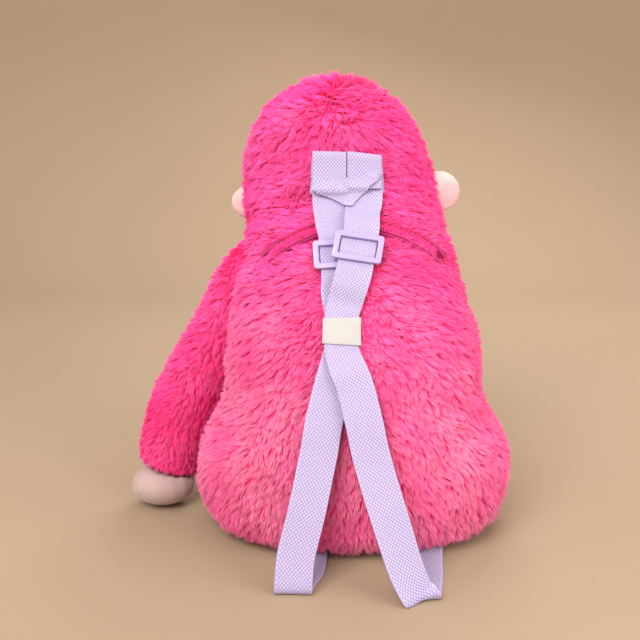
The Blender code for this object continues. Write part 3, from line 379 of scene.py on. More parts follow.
NECK, NECK_LEAN, SEAM_HALF = Vector((0, 0.055, 0.222)), Vector((0, 0.30, 1)), 0.0003


def part_at_neck(shape, above):
    plane = NECK_LEAN.normalized()
    spot = NECK + plane * (SEAM_HALF if above else -SEAM_HALF)
    cut = bmesh.ops.bisect_plane(shape, geom=everything(shape), plane_co=spot, plane_no=plane,
                                 clear_inner=above, clear_outer=not above)
    bmesh.ops.edgeloop_fill(shape, edges=[e for e in cut["geom_cut"] if isinstance(e, bmesh.types.BMEdge)])
    bmesh.ops.recalc_face_normals(shape, faces=shape.faces)


def shaded_mesh(name, shape, finish):
    mesh = bpy.data.meshes.new(name)
    shape.to_mesh(mesh)
    shape.free()
    smooth(mesh)
    mesh.materials.append(finish)
    return mesh


def made_piece(name, shape, finish, *replaced, slot):
    return link_piece(name, shaded_mesh(name, shape, finish), *replaced, slot=slot)


# The backing of the fur: knitted fabric in deep pink, close to the colour painted on the pile's shaded roots
backing_finish, paint = new_finish("fur_backing", 0.95, sheen=0.3, sheen_tint=(1, 0.5, 0.65))
fuzz = paint.noise(420.0, 4.0)
ground = paint.mix(fuzz, (0.90, 0.022, 0.18), (1.0, 0.045, 0.27))
pale = paint.mix(fuzz, (0.33, 0.21, 0.195), (0.40, 0.27, 0.25))
ground = paint.mix(paint.attribute("under_pad"), ground, pale)
# Painted shade: near black-red along the lips of the zip's groove and deep in the fur's creases, read from
# fold
paint.colour(paint.attribute("fold"), ground, (0.22, 0.003, 0.03))
paint.bump(fuzz, 0.0008, 0.6)

skins = {}
for name, node, above in (("body_skin", "torso", False), ("head_skin", "head", True)):
    shape = form_skin()
    part_at_neck(shape, above)
    skin = made_piece(name, shape, backing_finish, node, slot="pink_fur")
    skins[name] = skin

# ---- Arms and legs: the stuffed skins ----
# Bent tubes of the same fur fabric, stuffed and sewn to the body. Each ends in an open cuff that the pale
# hand or foot is sewn into. Rows from shoulder or hip to cuff, in mm: centre and radius over the pile.
LIMBS = {
    "arm_left": ((-62, 32, 208, 19), (-75.9, 30.8, 180, 28.4), (-93, 33, 142, 31.2), (-115, 35, 106, 31.5),
                 (-130, 37, 76, 31.5), (-139, 34.6, 50, 29.8), (-145.0, 31.6, 31, 26.5)),
    "arm_right": ((52, 40, 204, 20), (59.5, 66, 176, 27.5), (61.2, 88.9, 142, 29.3), (57.7, 104.7, 112, 28),
                  (54.2, 113.5, 91, 23.6)),
    "leg_left": ((-55.3, 45, 34, 28), (-62.1, 70.4, 33, 31.6), (-68.1, 97.7, 32.5, 31.2),
                 (-71, 114.4, 31.5, 28.2)),
}
LIMBS["leg_right"] = [(-x, y, z, radius) for x, y, z, radius in LIMBS["leg_left"]]


def limb_skin(rows, across=44, step=0.0045):
    """A limb's skin along these rows, a little lumpy, closed at both ends."""
    rows = np.array(rows) / 1000
    fine = smooth_rows(rows, np.linspace(0, len(rows) - 1, 200))
    along = lengths_along(fine[:, :3])
    count = round(along[-1] / step) + 1
    rows = evened(fine, along, count)
    shape = bmesh.new()
    rings = []
    for j in range(count):
        centre, radius = Vector(rows[j, :3]), rows[j, 3] - PILE
        way = Vector(rows[min(j + 1, count - 1), :3] - rows[max(j - 1, 0), :3]).normalized()
        first = way.cross(Vector((0, 1, 0.2))).normalized()
        second = way.cross(first)
        ring = []
        for i in range(across):
            turn = 2 * math.pi * i / across
            spot = centre + (first * math.cos(turn) + second * math.sin(turn)) * radius
            spot += (spot - centre).normalized() * 0.0011 * noise.noise(spot * 45)
            spot.z = max(spot.z, FLOOR_GAP)
            ring.append(shape.verts.new(spot))
        rings.append(ring)
    join_rings(shape, rings)
    for end in (0, -1):
        close_ring(shape, rings[end], rows[end, :3])
    bmesh.ops.recalc_face_normals(shape, faces=shape.faces)
    return shape


for name, rows in LIMBS.items():
    skin = made_piece(name + "_skin", limb_skin(rows), backing_finish, name, slot="pink_fur")
    skins[name] = skin

# ---- The pile ----
# Long soft polyester pile, knitted into the backing. Its fibres gather in small tufts that lie down the
# body, outwards beside the straps, and flat under them. Each fibre here is a thin closed spike, with painted
# shade darkening its root.


def shape_tree(name, inputs, output):
    """A new Geometry Nodes tree: the paint that fills it and the sockets that it is given."""
    tree = bpy.data.node_groups.new(name, "GeometryNodeTree")
    tree.is_modifier = True
    for kind, label in inputs:
        tree.interface.new_socket(label, in_out="INPUT", socket_type="NodeSocket" + kind)
    tree.interface.new_socket(output, in_out="OUTPUT", socket_type="NodeSocketGeometry")
    weave = Paint(tree)
    return weave, weave.node("NodeGroupInput").outputs


weave, given = shape_tree("pile", (
    ("Geometry", "Skin"), ("Float", "Per square metre"), ("Float", "Length"), ("Float", "Width"),
    ("Float", "Rise"), ("Float", "Spread"), ("Float", "Tufts per square metre"), ("Float", "Gather"),
    ("Float", "Tuft spread"), ("Int", "Seed"), ("Material", "Finish")), "Pile")
pile_tree = weave.tree


def read(name, kind="FLOAT"):
    return weave.number("GeometryNodeInputNamedAttribute", "Attribute", {"Name": name}, data_type=kind)


def store(geometry, name, value, kind="FLOAT"):
    return weave.out("GeometryNodeStoreNamedAttribute", "Geometry",
                     {"Geometry": geometry, "Name": name, "Value": value}, data_type=kind, domain="POINT")


def chance(low, high, whose, seed, kind="FLOAT"):
    """A random value between two, of its own for each number in whose."""
    return weave.number("FunctionNodeRandomValue", "Value",
                        {"Min": low, "Max": high, "ID": whose, "Seed": seed}, data_type=kind)


def vector(operation, *values, output="Vector"):
    return weave.out("ShaderNodeVectorMath", output, dict(enumerate(values)), operation=operation)


def scaled(way, by):
    return weave.out("ShaderNodeVectorMath", "Vector", {"Vector": way, "Scale": by}, operation="SCALE")


def scattered(density, seed):
    """Points on the skin and the way that a fibre grows there."""
    made = weave.node("GeometryNodeDistributePointsOnFaces",
                      {"Mesh": given["Skin"], "Density": density, "Seed": seed}, distribute_method="RANDOM")
    normal = made.outputs["Normal"]
    stored = store(made.outputs["Points"], "skin_normal", normal, "FLOAT_VECTOR")
    lie = vector("NORMALIZE", vector("ADD", read("lay", "FLOAT_VECTOR"), scaled(normal, given["Rise"])))
    return store(stored, "grows", lie, "FLOAT_VECTOR")


TUFT_REACH = 1.05
cover = read("cover")
fibres = scattered(cover * given["Per square metre"], given["Seed"])
tufts = scattered(cover * given["Tufts per square metre"], Number(weave, given["Seed"]) + 1)
place = weave.out("GeometryNodeInputPosition", "Position")
index = weave.out("GeometryNodeInputIndex", "Index")
nearest = weave.out("GeometryNodeSampleNearest", "Index", {"Geometry": tufts, "Sample Position": place},
                    domain="POINT")
length = read("long") * given["Length"]


def tip_of(stray_seed, spread, reach):
    """Where the tip of a fibre or tuft lies that strays this far from its way."""
    stray = chance((-1, -1, -1), (1, 1, 1), index, stray_seed, "FLOAT_VECTOR")
    way = vector("ADD", read("grows", "FLOAT_VECTOR"), scaled(stray, given[spread]))
    return vector("ADD", place, scaled(vector("NORMALIZE", way), length * reach))


tuft_tip = weave.out("GeometryNodeSampleIndex", "Value",
                     {"Geometry": tufts, "Value": tip_of(6, "Tuft spread", TUFT_REACH), "Index": nearest},
                     data_type="FLOAT_VECTOR", domain="POINT")
own_tip = tip_of(5, "Spread", chance(0.72, 1.12, index, 8))
pulled = chance(0.55, 1.0, index, 11) * given["Gather"]
tip = weave.out("ShaderNodeMix", "Result", {"Factor": pulled, "A": own_tip, "B": tuft_tip},
                data_type="VECTOR")
reach = vector("SUBTRACT", tip, place)
tones = (("tone", chance(0.0, 1.0, index, 3)), ("tuft_tone", chance(0.0, 1.0, nearest, 4)))
for name, value in tones:
    fibres = store(fibres, name, value)
spike = weave.out("GeometryNodeMeshCone", "Mesh",
                  {"Vertices": 3, "Side Segments": 1, "Radius Top": 0.0, "Radius Bottom": 0.5, "Depth": 1.0},
                  fill_type="NGON")
spot = weave.out("GeometryNodeInputPosition", "Position")
spike = store(spike, "along", weave.out("ShaderNodeSeparateXYZ", "Z", {"Vector": spot}))
turned = weave.out("FunctionNodeAlignRotationToVector", "Rotation", {"Vector": reach}, axis="Z")
size = weave.out("ShaderNodeCombineXYZ", "Vector",
                 {"X": given["Width"], "Y": given["Width"], "Z": vector("LENGTH", reach, output="Value")})


def finish_tree(output, instances):
    """Turns what is set on the points into one mesh with its finish, and ends the tree."""
    made = weave.out("GeometryNodeInstanceOnPoints", "Instances", instances)
    made = weave.out("GeometryNodeRealizeInstances", "Geometry", {"Geometry": made})
    made = weave.out("GeometryNodeSetMaterial", "Geometry", {"Geometry": made, "Material": given["Finish"]})
    weave.node("NodeGroupOutput", {output: made})


finish_tree("Pile", {"Points": fibres, "Instance": spike, "Rotation": turned, "Scale": size})


SKIN_SHARE = 0.78


def fur_finish(name, shaded_roots, lit_low_tips, high_tips):
    """Pile dyed through, its roots darkened by painted shade, each fibre lit mostly as the skin it stands on.
    """
    finish, paint = new_finish(name, 0.6, sheen=0.7, sheen_tint=(1.0, 0.5, 0.72))
    place = paint.out("ShaderNodeTexCoord", "Object")
    up = paint.number("ShaderNodeSeparateXYZ", "Z", {"Vector": place})
    along, tone, tuft = (paint.attribute(label) for label in ("along", "tone", "tuft_tone"))
    patches = paint.noise(24.0).between(0.34, 0.66)
    # Painted light: the tips are lighter and more orange low on the body than up on the head, as the lower
    # body takes more light
    tips = paint.mix(up.between(0.06, 0.25), paint.mix(patches, *lit_low_tips), paint.mix(patches, *high_tips))
    # Painted shade: each fibre runs from its darker root colour at the skin to its tip colour
    share = (along ** 0.75 * 1.15 + tone * 0.30 + tuft * 0.16 - 0.22).between(0.0, 1.0)
    paint.colour(share, paint.mix(tuft, *shaded_roots), tips)
    fibre_normal = paint.out("ShaderNodeNewGeometry", "Normal")
    skin_normal = paint.out("ShaderNodeAttribute", "Vector", attribute_name="skin_normal")
    both = {0: fibre_normal, 1: skin_normal}
    agree = paint.number("ShaderNodeVectorMath", "Value", both, operation="DOT_PRODUCT")
    values = {"Factor": agree.between(-0.3, 0.5) * SKIN_SHARE, "A": fibre_normal, "B": skin_normal}
    softer = paint.out("ShaderNodeMix", "Result", values, data_type="VECTOR")
    paint.feed("Normal", paint.out("ShaderNodeVectorMath", "Vector", {0: softer}, operation="NORMALIZE"))
    return finish


pile_finish = fur_finish("hot_pink_pile", ((0.90, 0.016, 0.19), (1.0, 0.034, 0.27)),
                         ((1.0, 0.15, 0.40), (1.0, 0.25, 0.46)), ((1.0, 0.055, 0.37), (1.0, 0.10, 0.42)))
# The arms' pile is the body's fur in darker, deeper colours: painted shade, the arms lying out of the light
shaded_arm_finish = fur_finish("shaded_pink_pile", ((0.94, 0.006, 0.11), (1.0, 0.014, 0.17)),
                        ((1.0, 0.042, 0.29), (1.0, 0.085, 0.38)), ((1.0, 0.052, 0.37), (1.0, 0.090, 0.43)))


def set_values(mesh, name, values, kind="FLOAT"):
    layer = mesh.attributes.get(name) or mesh.attributes.new(name, kind, "POINT")
    field = "vector" if kind == "FLOAT_VECTOR" else "value"
    layer.data.foreach_set(field, np.asarray(values, np.float32).ravel())


def points_of(mesh):
    """The places and the normals of a mesh's points."""
    both = np.empty((2, len(mesh.vertices) * 3), np.float32)
    mesh.vertices.foreach_get("co", both[0])
    mesh.vertices.foreach_get("normal", both[1])
    return both.reshape(2, -1, 3).astype(float)


# Where the three parts of the wander are read, far enough apart to be unlike. noise.noise_vector isn't used,
# as its values change from run to run.
WANDER = (Vector((9.32, -1.53, -7.95)), Vector((0, 0, 0)), Vector((6.33, 0.17, -2.67)))


def swirl(points, size, seed):
    """A slowly turning wander of the lay, the same each run."""
    spots = [Vector(p) / size + Vector((seed, 0, 0)) for p in points]
    return np.array([[noise.noise(spot + part) for part in WANDER] for spot in spots])


def lay_along(normals, ways):
    """Ways flattened onto the skin."""
    flat = ways - normals * np.sum(ways * normals, axis=1, keepdims=True)
    return flat / np.maximum(np.linalg.norm(flat, axis=1, keepdims=True), 1e-6)


PILE_LOOK = {"Length": 0.0092, "Width": 0.00092, "Rise": 0.78, "Spread": 0.34, "Gather": 0.70,
             "Tuft spread": 0.50, "Tufts per square metre": 76000.0, "Finish": pile_finish}


SEAM_CORNERS = 6
TIP_GAP = 0.0001


def evaluated(piece, keep_layers=False):
    """The mesh of a piece with its modifiers done."""
    graph = bpy.context.evaluated_depsgraph_get()
    return bpy.data.meshes.new_from_object(piece.evaluated_get(graph), preserve_all_data_layers=keep_layers,
                                           depsgraph=graph)


def grown(name, ground, tree, values):
    """The mesh that a tree makes of a ground mesh with these values."""
    holder = in_scene(name + "_ground", ground)
    modifier = holder.modifiers.new("tree", "NODES")
    modifier.node_group = tree
    for item in tree.interface.items_tree:
        if item.in_out == "INPUT" and item.name in values:
            modifier[item.identifier] = values[item.name]
    mesh = evaluated(holder, keep_layers=True)
    bpy.data.objects.remove(holder)
    return mesh


def grow_pile(name, skin, cover, per_square_metre, seed, **changes):
    """The pile on a part of a skin, as its own piece, clear of the floor. Closed seams grow none."""
    set_values(skin.data, "cover", cover)
    ground = skin.data.copy()
    shape = bmesh.new()
    shape.from_mesh(ground)
    closing = [face for face in shape.faces if len(face.verts) > SEAM_CORNERS]
    bmesh.ops.delete(shape, geom=closing, context="FACES_ONLY")
    shape.to_mesh(ground)
    shape.free()
    values = {**PILE_LOOK, "Per square metre": per_square_metre, "Seed": seed, **changes}
    mesh = grown(name, ground, pile_tree, values)
    mesh.name = name
    spikes = points_of(mesh)[0].reshape(-1, 4, 3)
    spikes[..., 2] += np.maximum(TIP_GAP - spikes[..., 2].min(axis=1, keepdims=True), 0)
    mesh.vertices.foreach_set("co", spikes.astype(np.float32).ravel())
    mesh.update()
    return link_piece(name, mesh, slot="pink_fur")


# How long, how dense and how wide the fibres are beside the zip and the straps, on the face and in front
CROWN = (-0.0135, 0.064)
FACE_CENTRE, FACE_HALF = (-0.0123, 0.2737), (0.043, 0.0365)
STRAPS_LOW, STRAPS_HIGH, STRAPS_X = 0.146, 0.28, -0.006
BARE_LOW, BARE_HIGH = -2.8, 4.6
CREASE_DEEP = 4
FULL, THIN, ARM, LIMB = 1080000.0, 430000.0, 900000.0, 470000.0
WIDE = 0.0015

for name in ("body_skin", "head_skin"):
    skin = skins[name]
    points, normals = points_of(skin.data)
    x, y, z = points.T
    centre = np.interp(z, FORM[:, 0], FORM[:, 1])
    outwards = np.clip((x - centre) / 0.035, -1, 1)
    sideways = np.interp(z, (0.0, 0.14, 0.20, 0.225, 0.25, 0.29, 0.333),
                         (0.15, 0.35, 1.5, 2.2, 1.2, 0.8, 0.9))
    ways = np.stack([outwards * sideways, np.zeros(len(x)), -np.ones(len(x))], axis=1)
    ways = ways + swirl(points, 0.030, 3.0) * 0.75 + swirl(points, 0.011, 9.0) * 0.55
    crown = step_between(normals[:, 2], 0.88, 0.995)[:, None]
    away = np.stack([x - CROWN[0], y - CROWN[1], np.zeros(len(x))], axis=1)
    ways = ways * (1 - crown) + (away * 40 + swirl(points, 0.020, 5.0)) * crown
    set_values(skin.data, "lay", lay_along(normals, ways) * (1 - 0.3 * crown), "FLOAT_VECTOR")
    behind = normals[:, 1] < 0
    above_zip = zip_away(points)
    line = np.abs(above_zip)
    near_zip = np.where(behind, step_between(line, 2.5, 11.0), 1)
    creased = np.array([crease_depth(*spot, True) for spot in zip(x * 1000, z * 1000)]) / CREASE_DEEP
    near_zip = near_zip * (1 - 0.75 * np.where(behind, creased, 0))
    under_straps = behind & (z > STRAPS_LOW) & (z < STRAPS_HIGH)
    pressed = np.where(under_straps, step_between(np.abs(x - STRAPS_X), 0.012, 0.030), 1)
    set_values(skin.data, "long", (0.35 + 0.65 * pressed) * (0.32 + 0.68 * near_zip)
               * np.interp(z, (0.0, 0.02, 0.16, 0.22, 0.333), (0.62, 0.84, 0.90, 1.05, 1.0)))
    # Painted shade on the backing: a band along each lip of the zip's groove, and the deepest parts of the
    # creases
    lip_shade = step_between(line, 1.6, 2.2) * (1 - step_between(line, 3.4, 4.6))
    set_values(skin.data, "fold", np.where(behind, np.maximum(lip_shade, step_between(creased, 0.5, 0.95)), 0))
    from_face = np.hypot((x - FACE_CENTRE[0]) / FACE_HALF[0], (z - FACE_CENTRE[1]) / FACE_HALF[1])
    face = (normals[:, 1] > 0.1) & (from_face < 1)
    bare = (above_zip > BARE_LOW) & (above_zip < BARE_HIGH) & behind & (name == "body_skin")
    set_values(skin.data, "under_pad", face)
    covered = ~(face | bare)
    if name == "body_skin":
        low = step_between(z, 0.116, 0.120)
        grow_pile("body_pile_low", skin, covered * behind * (1 - low), FULL, 1)
        grow_pile("body_pile_high", skin, covered * behind * low, FULL, 11)
        grow_pile("body_pile_front", skin, covered * ~behind, THIN, 21, Width=WIDE)
    else:
        grow_pile("head_pile_back", skin, covered * behind, FULL, 31)
        grow_pile("head_pile_front", skin, covered * ~behind, THIN, 41, Width=WIDE)

for seed, (name, rows) in enumerate(LIMBS.items()):
    skin = skins[name]
    points, normals = points_of(skin.data)
    rows = np.array(rows)[:, :3] / 1000
    fine = smooth_rows(rows, np.linspace(0, len(rows) - 1, 80))
    at = np.argmin(np.linalg.norm(points[:, None] - fine[None], axis=2), axis=1)
    ways = np.gradient(fine, axis=0)[at]
    ways = ways / np.linalg.norm(ways, axis=1, keepdims=True)
    ends = np.abs(np.sum(ways * normals, axis=1)) > 0.8
    ways = ways + swirl(points, 0.025, 4.0 + seed) * 0.7 + swirl(points, 0.010, 14.0) * 0.5
    set_values(skin.data, "lay", lay_along(normals, ways), "FLOAT_VECTOR")
    cuff = np.clip(2.2 - at / (len(fine) - 1) * 1.6, 0, 1)
    seen = name == "arm_left"
    set_values(skin.data, "long", (0.86 if seen else 0.9) * cuff)
    grow_pile(name + "_pile", skin, ~ends & (points[:, 2] > 0.0015), ARM if seen else LIMB, 51 + seed,
              Width=0.0011 if seen else WIDE, Finish=shaded_arm_finish if name.startswith("arm") else pile_finish)

# ---- Hands, feet, ears and face: short-nap pieces ----
# Cut from pale-pink fabric with a nap of under a millimetre, stuffed, and sewn on. The ears have a pinker
# middle. The face is a plain ape's: a flat pad round the eyes and a low domed muzzle.
velboa_finish, paint = new_finish("pale_short_nap", 0.85, sheen=0.45, sheen_tint=(1, 0.93, 0.9))
nap, drift = paint.noise(900.0, 3.0), paint.noise(45.0, 3.0)
base = paint.mix(drift, (0.39, 0.252, 0.235), (0.45, 0.31, 0.285))
paint.colour(nap * 0.35, base, (0.52, 0.40, 0.38))
paint.bump(nap * 0.6 + drift * 0.8, 0.0007, 0.55)


def merged(node):
    """The CAD node's triangles as one joined shape."""
    shape = bmesh.new()
    shape.from_mesh(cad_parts[node].data)
    bmesh.ops.remove_doubles(shape, verts=shape.verts, dist=1e-6)
    return shape


CLOTH_STEPS = 20


def stuffed(name, node, finish, voxel=0.0022, shrink=0.0012, cap=0.0022, pressure=4.0):
    """A stuffed piece from its CAD solid: drawn in a little, blown up as cloth, and subdivided."""
    shape = merged(node)
    low, high = (Vector(corner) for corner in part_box(node))
    middle = (low + high) / 2
    for vert in shape.verts:
        vert.co -= (vert.co - middle).normalized() * shrink
    piece = in_scene(name, shaded_mesh(name, shape, finish))
    remesh = piece.modifiers.new("remesh", "REMESH")
    remesh.mode = "VOXEL"
    remesh.voxel_size = voxel
    remesh.use_smooth_shade = True
    rounding = piece.modifiers.new("rounding", "SMOOTH")
    rounding.iterations = 4
    mesh = evaluated(piece)
    piece.modifiers.clear()
    piece.data = mesh
    start, _ = points_of(mesh)
    cloth = piece.modifiers.new("cloth", "CLOTH")
    cloth.settings.use_pressure = True
    cloth.settings.uniform_pressure_force = pressure
    cloth.settings.effector_weights.gravity = 0
    for step in range(1, CLOTH_STEPS + 1):
        bpy.context.scene.frame_set(step)
    moved, _ = points_of(evaluated(piece))
    piece.modifiers.clear()
    bpy.context.scene.frame_set(1)
    moves = moved - start
    lengths = np.linalg.norm(moves, axis=1, keepdims=True)
    points = start + moves * np.minimum(1, cap / np.maximum(lengths, 1e-9))
    points[:, 2] = np.maximum(points[:, 2], 0)
    mesh.vertices.foreach_set("co", points.astype(np.float32).ravel())
    mesh.update()
    finer = piece.modifiers.new("finer", "SUBSURF")
    finer.levels = finer.render_levels = 1
    mesh = evaluated(piece)
    bpy.data.objects.remove(piece)
    smooth(mesh)
    mesh.materials.clear()
    mesh.materials.append(finish)
    made = link_piece(name, mesh, node, slot="pale_velboa")


ear_finish, paint = new_finish("ear_short_nap", 0.85, sheen=0.45, sheen_tint=(1, 0.93, 0.9))
EAR_X, EAR_Z, EAR_HALF, EAR_UP = 0.0745, 0.2440, 0.0105, 0.0125
place = paint.out("ShaderNodeTexCoord", "Object")
parts = paint.node("ShaderNodeSeparateXYZ", {"Vector": place}).outputs
across = (Number(paint, parts["X"]) - EAR_X) / EAR_HALF
upwards = (Number(paint, parts["Z"]) - EAR_Z) / EAR_UP
middle = 1 - (across * across + upwards * upwards).between(0.25, 1.0)
paint.colour(middle * 0.8, (0.72, 0.47, 0.45), (0.70, 0.35, 0.37))
paint.bump(paint.noise(900.0, 3.0), 0.0006, 0.5)

for node in ("hand_left", "hand_right", "foot_left", "foot_right"):
    stuffed("velboa_" + node, node, velboa_finish)
stuffed("velboa_muzzle", "muzzle", velboa_finish, shrink=-0.0010, cap=0.0014)
for node, shrink in (("ear_left", -0.0014), ("ear_right", 0.0004)):
    stuffed("velboa_" + node, node, ear_finish, voxel=0.0013, shrink=shrink, cap=0.0014)
stuffed("velboa_face", "face_patch", velboa_finish, voxel=0.0017, shrink=0.0, cap=0.0006, pressure=1.0)

eye_finish, paint = new_finish("black_eye", 0.12, coat=0.6)
paint.colour(paint.noise(120.0), (0.008, 0.007, 0.008), (0.022, 0.016, 0.014))
for node in ("eye_left", "eye_right"):
    piece = made_piece("button_" + node, merged(node), eye_finish, node, slot="black_plastic")
    finer = piece.modifiers.new("finer", "SUBSURF")
    finer.levels = finer.render_levels = 2

# ---- Webbing ----
# Lavender polyester webbing about 25 mm wide, in a coarse lozenge weave with flat selvedges. The straps and
# the hanging loop are cut lengths of it, sewn to a level piece at the nape and into the seam of the seat.
web_finish, paint = new_finish("lavender_webbing", 0.58, sheen=0.25, sheen_tint=(0.95, 0.9, 1.0))
laid = paint.out("ShaderNodeUVMap", "UV", uv_map="weave")
parts = paint.node("ShaderNodeSeparateXYZ", {"Vector": laid}).outputs
u, v = Number(paint, parts["X"]), Number(paint, parts["Y"])
LOZENGE_WIDE, LOZENGE_LONG, RIB = 2.35, 2.9, 1.1
across = (u * (2 * math.pi / LOZENGE_WIDE)).maths("COSINE")
down = (v * (2 * math.pi / LOZENGE_LONG)).maths("COSINE")
cells = ((across - down).maths("ABSOLUTE") * 0.5) ** 0.6
ribs = (v * (2 * math.pi / RIB)).maths("COSINE") * 0.5 + 0.5
edge = u.maths("ABSOLUTE").between(10.9, 11.5)
weave_height = cells * (1 - edge) + (ribs * 0.4 + 0.4) * edge
light = paint.mix(paint.noise(260.0, 3.0), (0.410, 0.335, 0.555), (0.460, 0.390, 0.600))
# Painted highlight: a pale glint on the top of each raised float of the weave
light = paint.mix(cells.between(0.78, 1.0) * (1 - edge), light, (0.56, 0.515, 0.66))
# Painted shade and light: darker where the weave lies low, lighter where it stands up
paint.colour(weave_height.between(0.05, 0.55), (0.330, 0.260, 0.510), light)
paint.bump(weave_height, 0.0006, 0.9)
WEB_THICKNESS = 0.0014
WEB_WIDTH = 24.5


def fine_route(rows, step=2.0):
    """Rows of a route, in mm, read closely: centre, way across and width, the usual one if none is given."""
    rows = np.array([row if len(row) == 7 else (*row, WEB_WIDTH) for row in rows], float)
    knots = lengths_along(rows[:, :3])
    slopes = np.gradient(rows, knots, axis=0)
    at = np.linspace(0, knots[-1], max(3, round(knots[-1] / step) + 1))
    i = np.clip(np.searchsorted(knots, at, side="right") - 1, 0, len(rows) - 2)
    gap = (knots[i + 1] - knots[i])[:, None]
    t = (at - knots[i])[:, None] / gap
    route = rows[i] * (1 + 2 * t) * (1 - t) ** 2 + slopes[i] * gap * t * (1 - t) ** 2
    route += rows[i + 1] * t * t * (3 - 2 * t) + slopes[i + 1] * gap * t * t * (t - 1)
    return route, at


def webbing(name, rows, replaced, step=2.0, cup=0.0):
    """A length of webbing along a route, with soft selvedges and its weave laid along it."""
    route, at = fine_route(rows, step)
    lanes = np.array([-0.5, -0.485, -0.44, -0.33, -0.17, 0.0, 0.17, 0.33, 0.44, 0.485, 0.5])
    thick = np.array([0.30, 0.75, 0.92, 1.0, 1.0, 1.0, 1.0, 1.0, 0.92, 0.75, 0.30])
    shape = bmesh.new()
    uv = shape.loops.layers.uv.new("weave")
    rings = []
    places = {}
    for j, (row, way_along) in enumerate(zip(route, at)):
        centre, across, width = Vector(row[:3]) / 1000, Vector(row[3:6]).normalized(), row[6] / 1000
        ahead = Vector(route[min(j + 1, len(route) - 1), :3] - route[max(j - 1, 0), :3]).normalized()
        across = (across - ahead * across.dot(ahead)).normalized()
        normal = ahead.cross(across)
        ring = []
        for face in (1, -1):
            for lane, depth in zip(lanes[::face], thick[::face]):
                curl = cup * (lane * 2) ** 2 + 0.00012 * noise.noise(Vector((way_along * 0.08, lane * 2, 5)))
                spot = centre + across * lane * width + normal * (face * WEB_THICKNESS / 2 * depth + curl)
                spot.z = max(spot.z, 0)
                vert = shape.verts.new(spot)
                places[vert] = (lane * width * 1000, way_along)
                ring.append(vert)
        rings.append(ring)
    join_rings(shape, rings)
    last = 2 * len(lanes) - 1
    for ring in (rings[0], rings[-1]):
        for i in range(len(lanes) - 1):
            shape.faces.new((ring[i], ring[i + 1], ring[last - 1 - i], ring[last - i]))
    for face in shape.faces:
        for loop in face.loops:
            loop[uv].uv = places[loop.vert]
    bmesh.ops.recalc_face_normals(shape, faces=shape.faces)
    made_piece(name, shape, web_finish, *replaced, slot="lavender_web")


# Rows from the nape down the back, over the fold on the floor and back to the seat, in mm: centre, way
# across, and width where it isn't the usual one
STRAP_LEFT = (
    (-18.4, -3.2, 266.5, 1, 0, 0.01), (-18.3, -4.8, 257.8, 1, 0, 0.01), (-18.2, -7.8, 249.4, 1, 0.01, 0.01),
    (-18, -11.1, 241.2, 1, 0.03, 0.06), (-17, -16.4, 234.3, 0.99, 0.07, 0.09),
    (-15.9, -22.4, 227.8, 0.99, 0.08, 0.09), (-14, -30.1, 221.1, 1, 0.04, 0.06),
    (-13.2, -36.3, 212.6, 1, 0.04, 0.06), (-12.6, -42.1, 205.9, 1, 0.04, 0.06),
    (-12.4, -43.3, 202.4, 1, 0.04, 0.06), (-11.7, -49.2, 193.5, 1, 0.04, 0.05, 24.6),
    (-12.2, -52.7, 184.5, 1, 0.03, 0.06, 24.4), (-11.1, -57.2, 176.3, 0.99, 0.05, 0.1, 23.5),
    (-10.6, -60.1, 172.6, 1, 0.04, 0.07, 22.9), (-10.5, -64.5, 164.4, 1, -0.01, -0.02, 22.5),
    (-10.6, -68.6, 156.1, 1, 0, -0.01, 22.6), (-11.1, -72.7, 148.1, 0.99, -0.09, -0.12, 23.2),
    (-12, -75, 144.1, 0.98, -0.13, -0.16, 23.6), (-13.5, -79.1, 139, 0.97, -0.14, -0.2, 24.3),
    (-15.7, -83.5, 131.5, 0.97, -0.11, -0.23, 24.6), (-18, -86.8, 123.7, 0.97, -0.1, -0.23, 24.6),
    (-22.1, -93, 107.6, 0.98, -0.07, -0.19), (-23.8, -95.9, 99.3, 0.99, -0.05, -0.16),
    (-25.1, -98.2, 90.9, 0.98, -0.05, -0.16), (-26.8, -100.8, 82.6, 0.98, -0.06, -0.18),
    (-30.4, -106.2, 66.1, 0.98, -0.07, -0.2), (-32.2, -108.8, 57.8, 0.98, -0.07, -0.2),
    (-34.1, -111.3, 49.5, 0.97, -0.08, -0.21), (-38.5, -115.9, 32.9, 0.97, -0.09, -0.22),
    (-40.5, -118.3, 24.6, 0.99, -0.08, -0.14), (-41.8, -122.3, 12.4, 1, -0.05, -0.05),
    (-42.1, -123.6, 8.2, 1, -0.05, -0.06), (-42.3, -124.2, 3.7, 1, -0.03, -0.04),
    (-42.4, -123.6, 1.9, 1, 0, -0.03), (-42.1, -117, 0.2, 0.99, -0.14, 0),
    (-41.2, -112.5, 0.5, 0.96, -0.28, -0.01), (-38.5, -103.8, 0.8, 0.95, -0.33, -0.01),
    (-35.4, -95.5, 1, 0.96, -0.27, -0.01), (-33.7, -86.8, 1.5, 0.99, -0.15, -0.01),
    (-32.8, -78, 2.2, 1, -0.08, -0.01), (-32.2, -69.2, 3.3, 1, -0.04, -0.01),
    (-32, -60.4, 4.5, 1, -0.03, 0),
)
